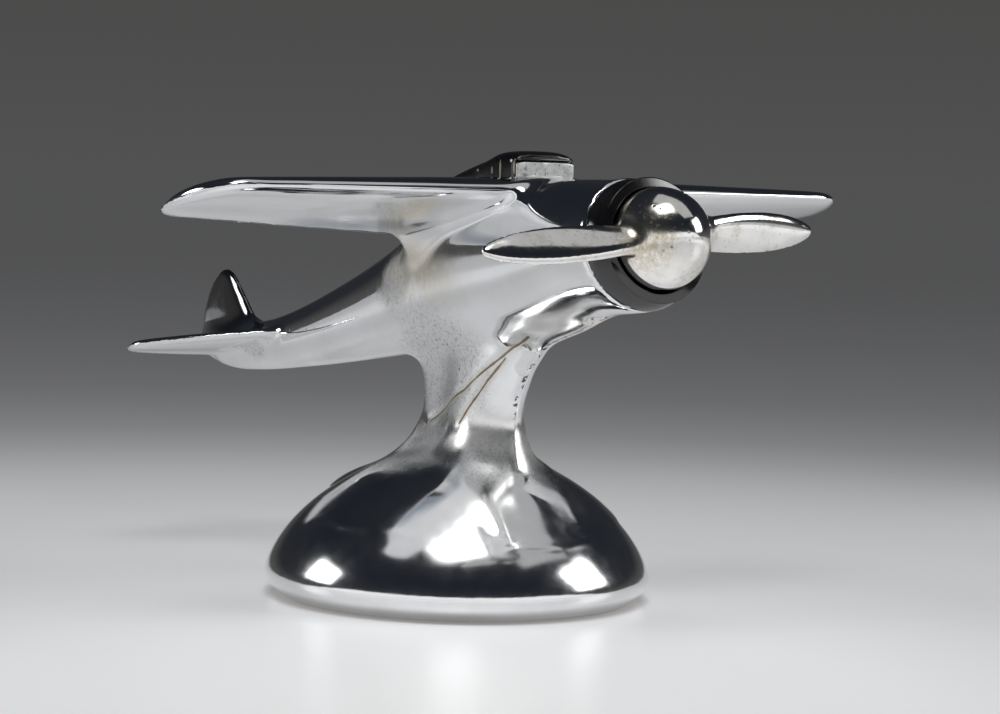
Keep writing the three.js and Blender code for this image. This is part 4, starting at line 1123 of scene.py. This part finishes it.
# pale low wall round the front of the set, up to 13 degrees, which the plating mirrors
wd = wt.nodes.new("ShaderNodeVectorMath"); wd.operation = 'DOT_PRODUCT'; wt.links.new(tc.outputs["Generated"], wd.inputs[0]); wd.inputs[1].default_value = FRONT
wm = wt.nodes.new("ShaderNodeMapRange"); wm.interpolation_type = 'SMOOTHSTEP'; wt.links.new(wd.outputs["Value"], wm.inputs["Value"])
for k_, v_ in (("From Min", -0.25), ("From Max", 0.55), ("To Min", 0.0), ("To Max", 0.225)):
    wm.inputs[k_].default_value = v_
wl = wt.nodes.new("ShaderNodeMath"); wl.operation = 'SUBTRACT'; wt.links.new(wm.outputs["Result"], wl.inputs[0]); wt.links.new(sx.outputs[2], wl.inputs[1])
ws_ = wt.nodes.new("ShaderNodeMapRange"); ws_.interpolation_type = 'SMOOTHSTEP'; wt.links.new(wl.outputs[0], ws_.inputs["Value"])
for k_, v_ in (("From Min", -0.004), ("From Max", 0.016), ("To Min", 0.0), ("To Max", 1.0)):
    ws_.inputs[k_].default_value = v_
wf = wt.nodes.new("ShaderNodeMath"); wf.operation = 'MULTIPLY'; wt.links.new(ws_.outputs["Result"], wf.inputs[0])
wg = wt.nodes.new("ShaderNodeMapRange"); wt.links.new(wm.outputs["Result"], wg.inputs["Value"])
for k_, v_ in (("From Min", 0.0), ("From Max", 0.03), ("To Min", 0.0), ("To Max", 1.0)):
    wg.inputs[k_].default_value = v_
wt.links.new(wg.outputs["Result"], wf.inputs[1])
wx = wt.nodes.new("ShaderNodeMix"); wx.data_type = 'RGBA'
wt.links.new(wf.outputs[0], wx.inputs[0]); wt.links.new(wr.outputs[0], wx.inputs[6]); wx.inputs[7].default_value = rgb(0.92, 0.925, 0.93)
wt.links.new(wx.outputs[2], bg.inputs["Color"])
bg.inputs["Strength"].default_value = 1.0


def softbox(name, az, el_, dist_, w, h, radiance, target=(0, 0, 0.05), tint=(1, 1, 1), roll=0.0, at=None, soft=0.2):
    """Area light seen from the target at azimuth az (from -Y towards +X) and elevation el, with a soft rim."""
    a, e = math.radians(az), math.radians(el_)
    d = Vector((math.sin(a) * math.cos(e), -math.cos(a) * math.cos(e), math.sin(e)))
    if at is not None:
        d = (Vector(at) - Vector(target)); dist_ = d.length; d.normalize()
    L = bpy.data.lights.new(name, 'AREA'); L.shape = 'RECTANGLE'; L.size = w; L.size_y = h
    L.energy = radiance * math.pi * w * h
    L.color = tint
    L.use_nodes = True
    t = L.node_tree
    em = next(n for n in t.nodes if n.type == 'EMISSION')
    g = t.nodes.new("ShaderNodeNewGeometry"); sp = t.nodes.new("ShaderNodeSeparateXYZ"); t.links.new(g.outputs["Parametric"], sp.inputs[0])
    prod = None
    for i in (0, 1):
        c = t.nodes.new("ShaderNodeMath"); c.operation = 'PINGPONG'; t.links.new(sp.outputs[i], c.inputs[0]); c.inputs[1].default_value = 0.5
        m = t.nodes.new("ShaderNodeMapRange"); m.interpolation_type = 'SMOOTHSTEP'; t.links.new(c.outputs[0], m.inputs["Value"])
        m.inputs["From Min"].default_value = 0.0; m.inputs["From Max"].default_value = soft
        if prod is None:
            prod = m.outputs["Result"]
        else:
            x = t.nodes.new("ShaderNodeMath"); x.operation = 'MULTIPLY'; t.links.new(prod, x.inputs[0]); t.links.new(m.outputs["Result"], x.inputs[1]); prod = x.outputs[0]
    t.links.new(prod, em.inputs["Strength"])
    o = bpy.data.objects.new(name, L)
    o.location = Vector(target) + d * dist_
    q = d.to_track_quat('Z', 'Y')
    o.rotation_euler = (q.to_matrix() @ Matrix.Rotation(math.radians(roll), 3, 'Z')).to_euler()
    scene.collection.objects.link(o)
    return o


softbox("box_top", 0, 0, 0, 0.56, 0.46, 6.5, at=(-0.13, -0.22, 0.85), roll=20, soft=0.4)
softbox("box_left", -124, 20, 0.85, 0.40, 0.34, 7.0, soft=0.3)
softbox("box_right", 56, 24, 0.85, 0.46, 0.46, 6.0, soft=0.25)
softbox("card_over", 0, 0, 0, 0.92, 0.52, 0.42, at=(0.241, -0.137, 0.86), roll=60, soft=0.05)

scene.view_settings.view_transform = 'Standard'
scene.view_settings.look = 'None'

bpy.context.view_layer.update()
print("built in", round(time.time() - _t0, 1), "s")
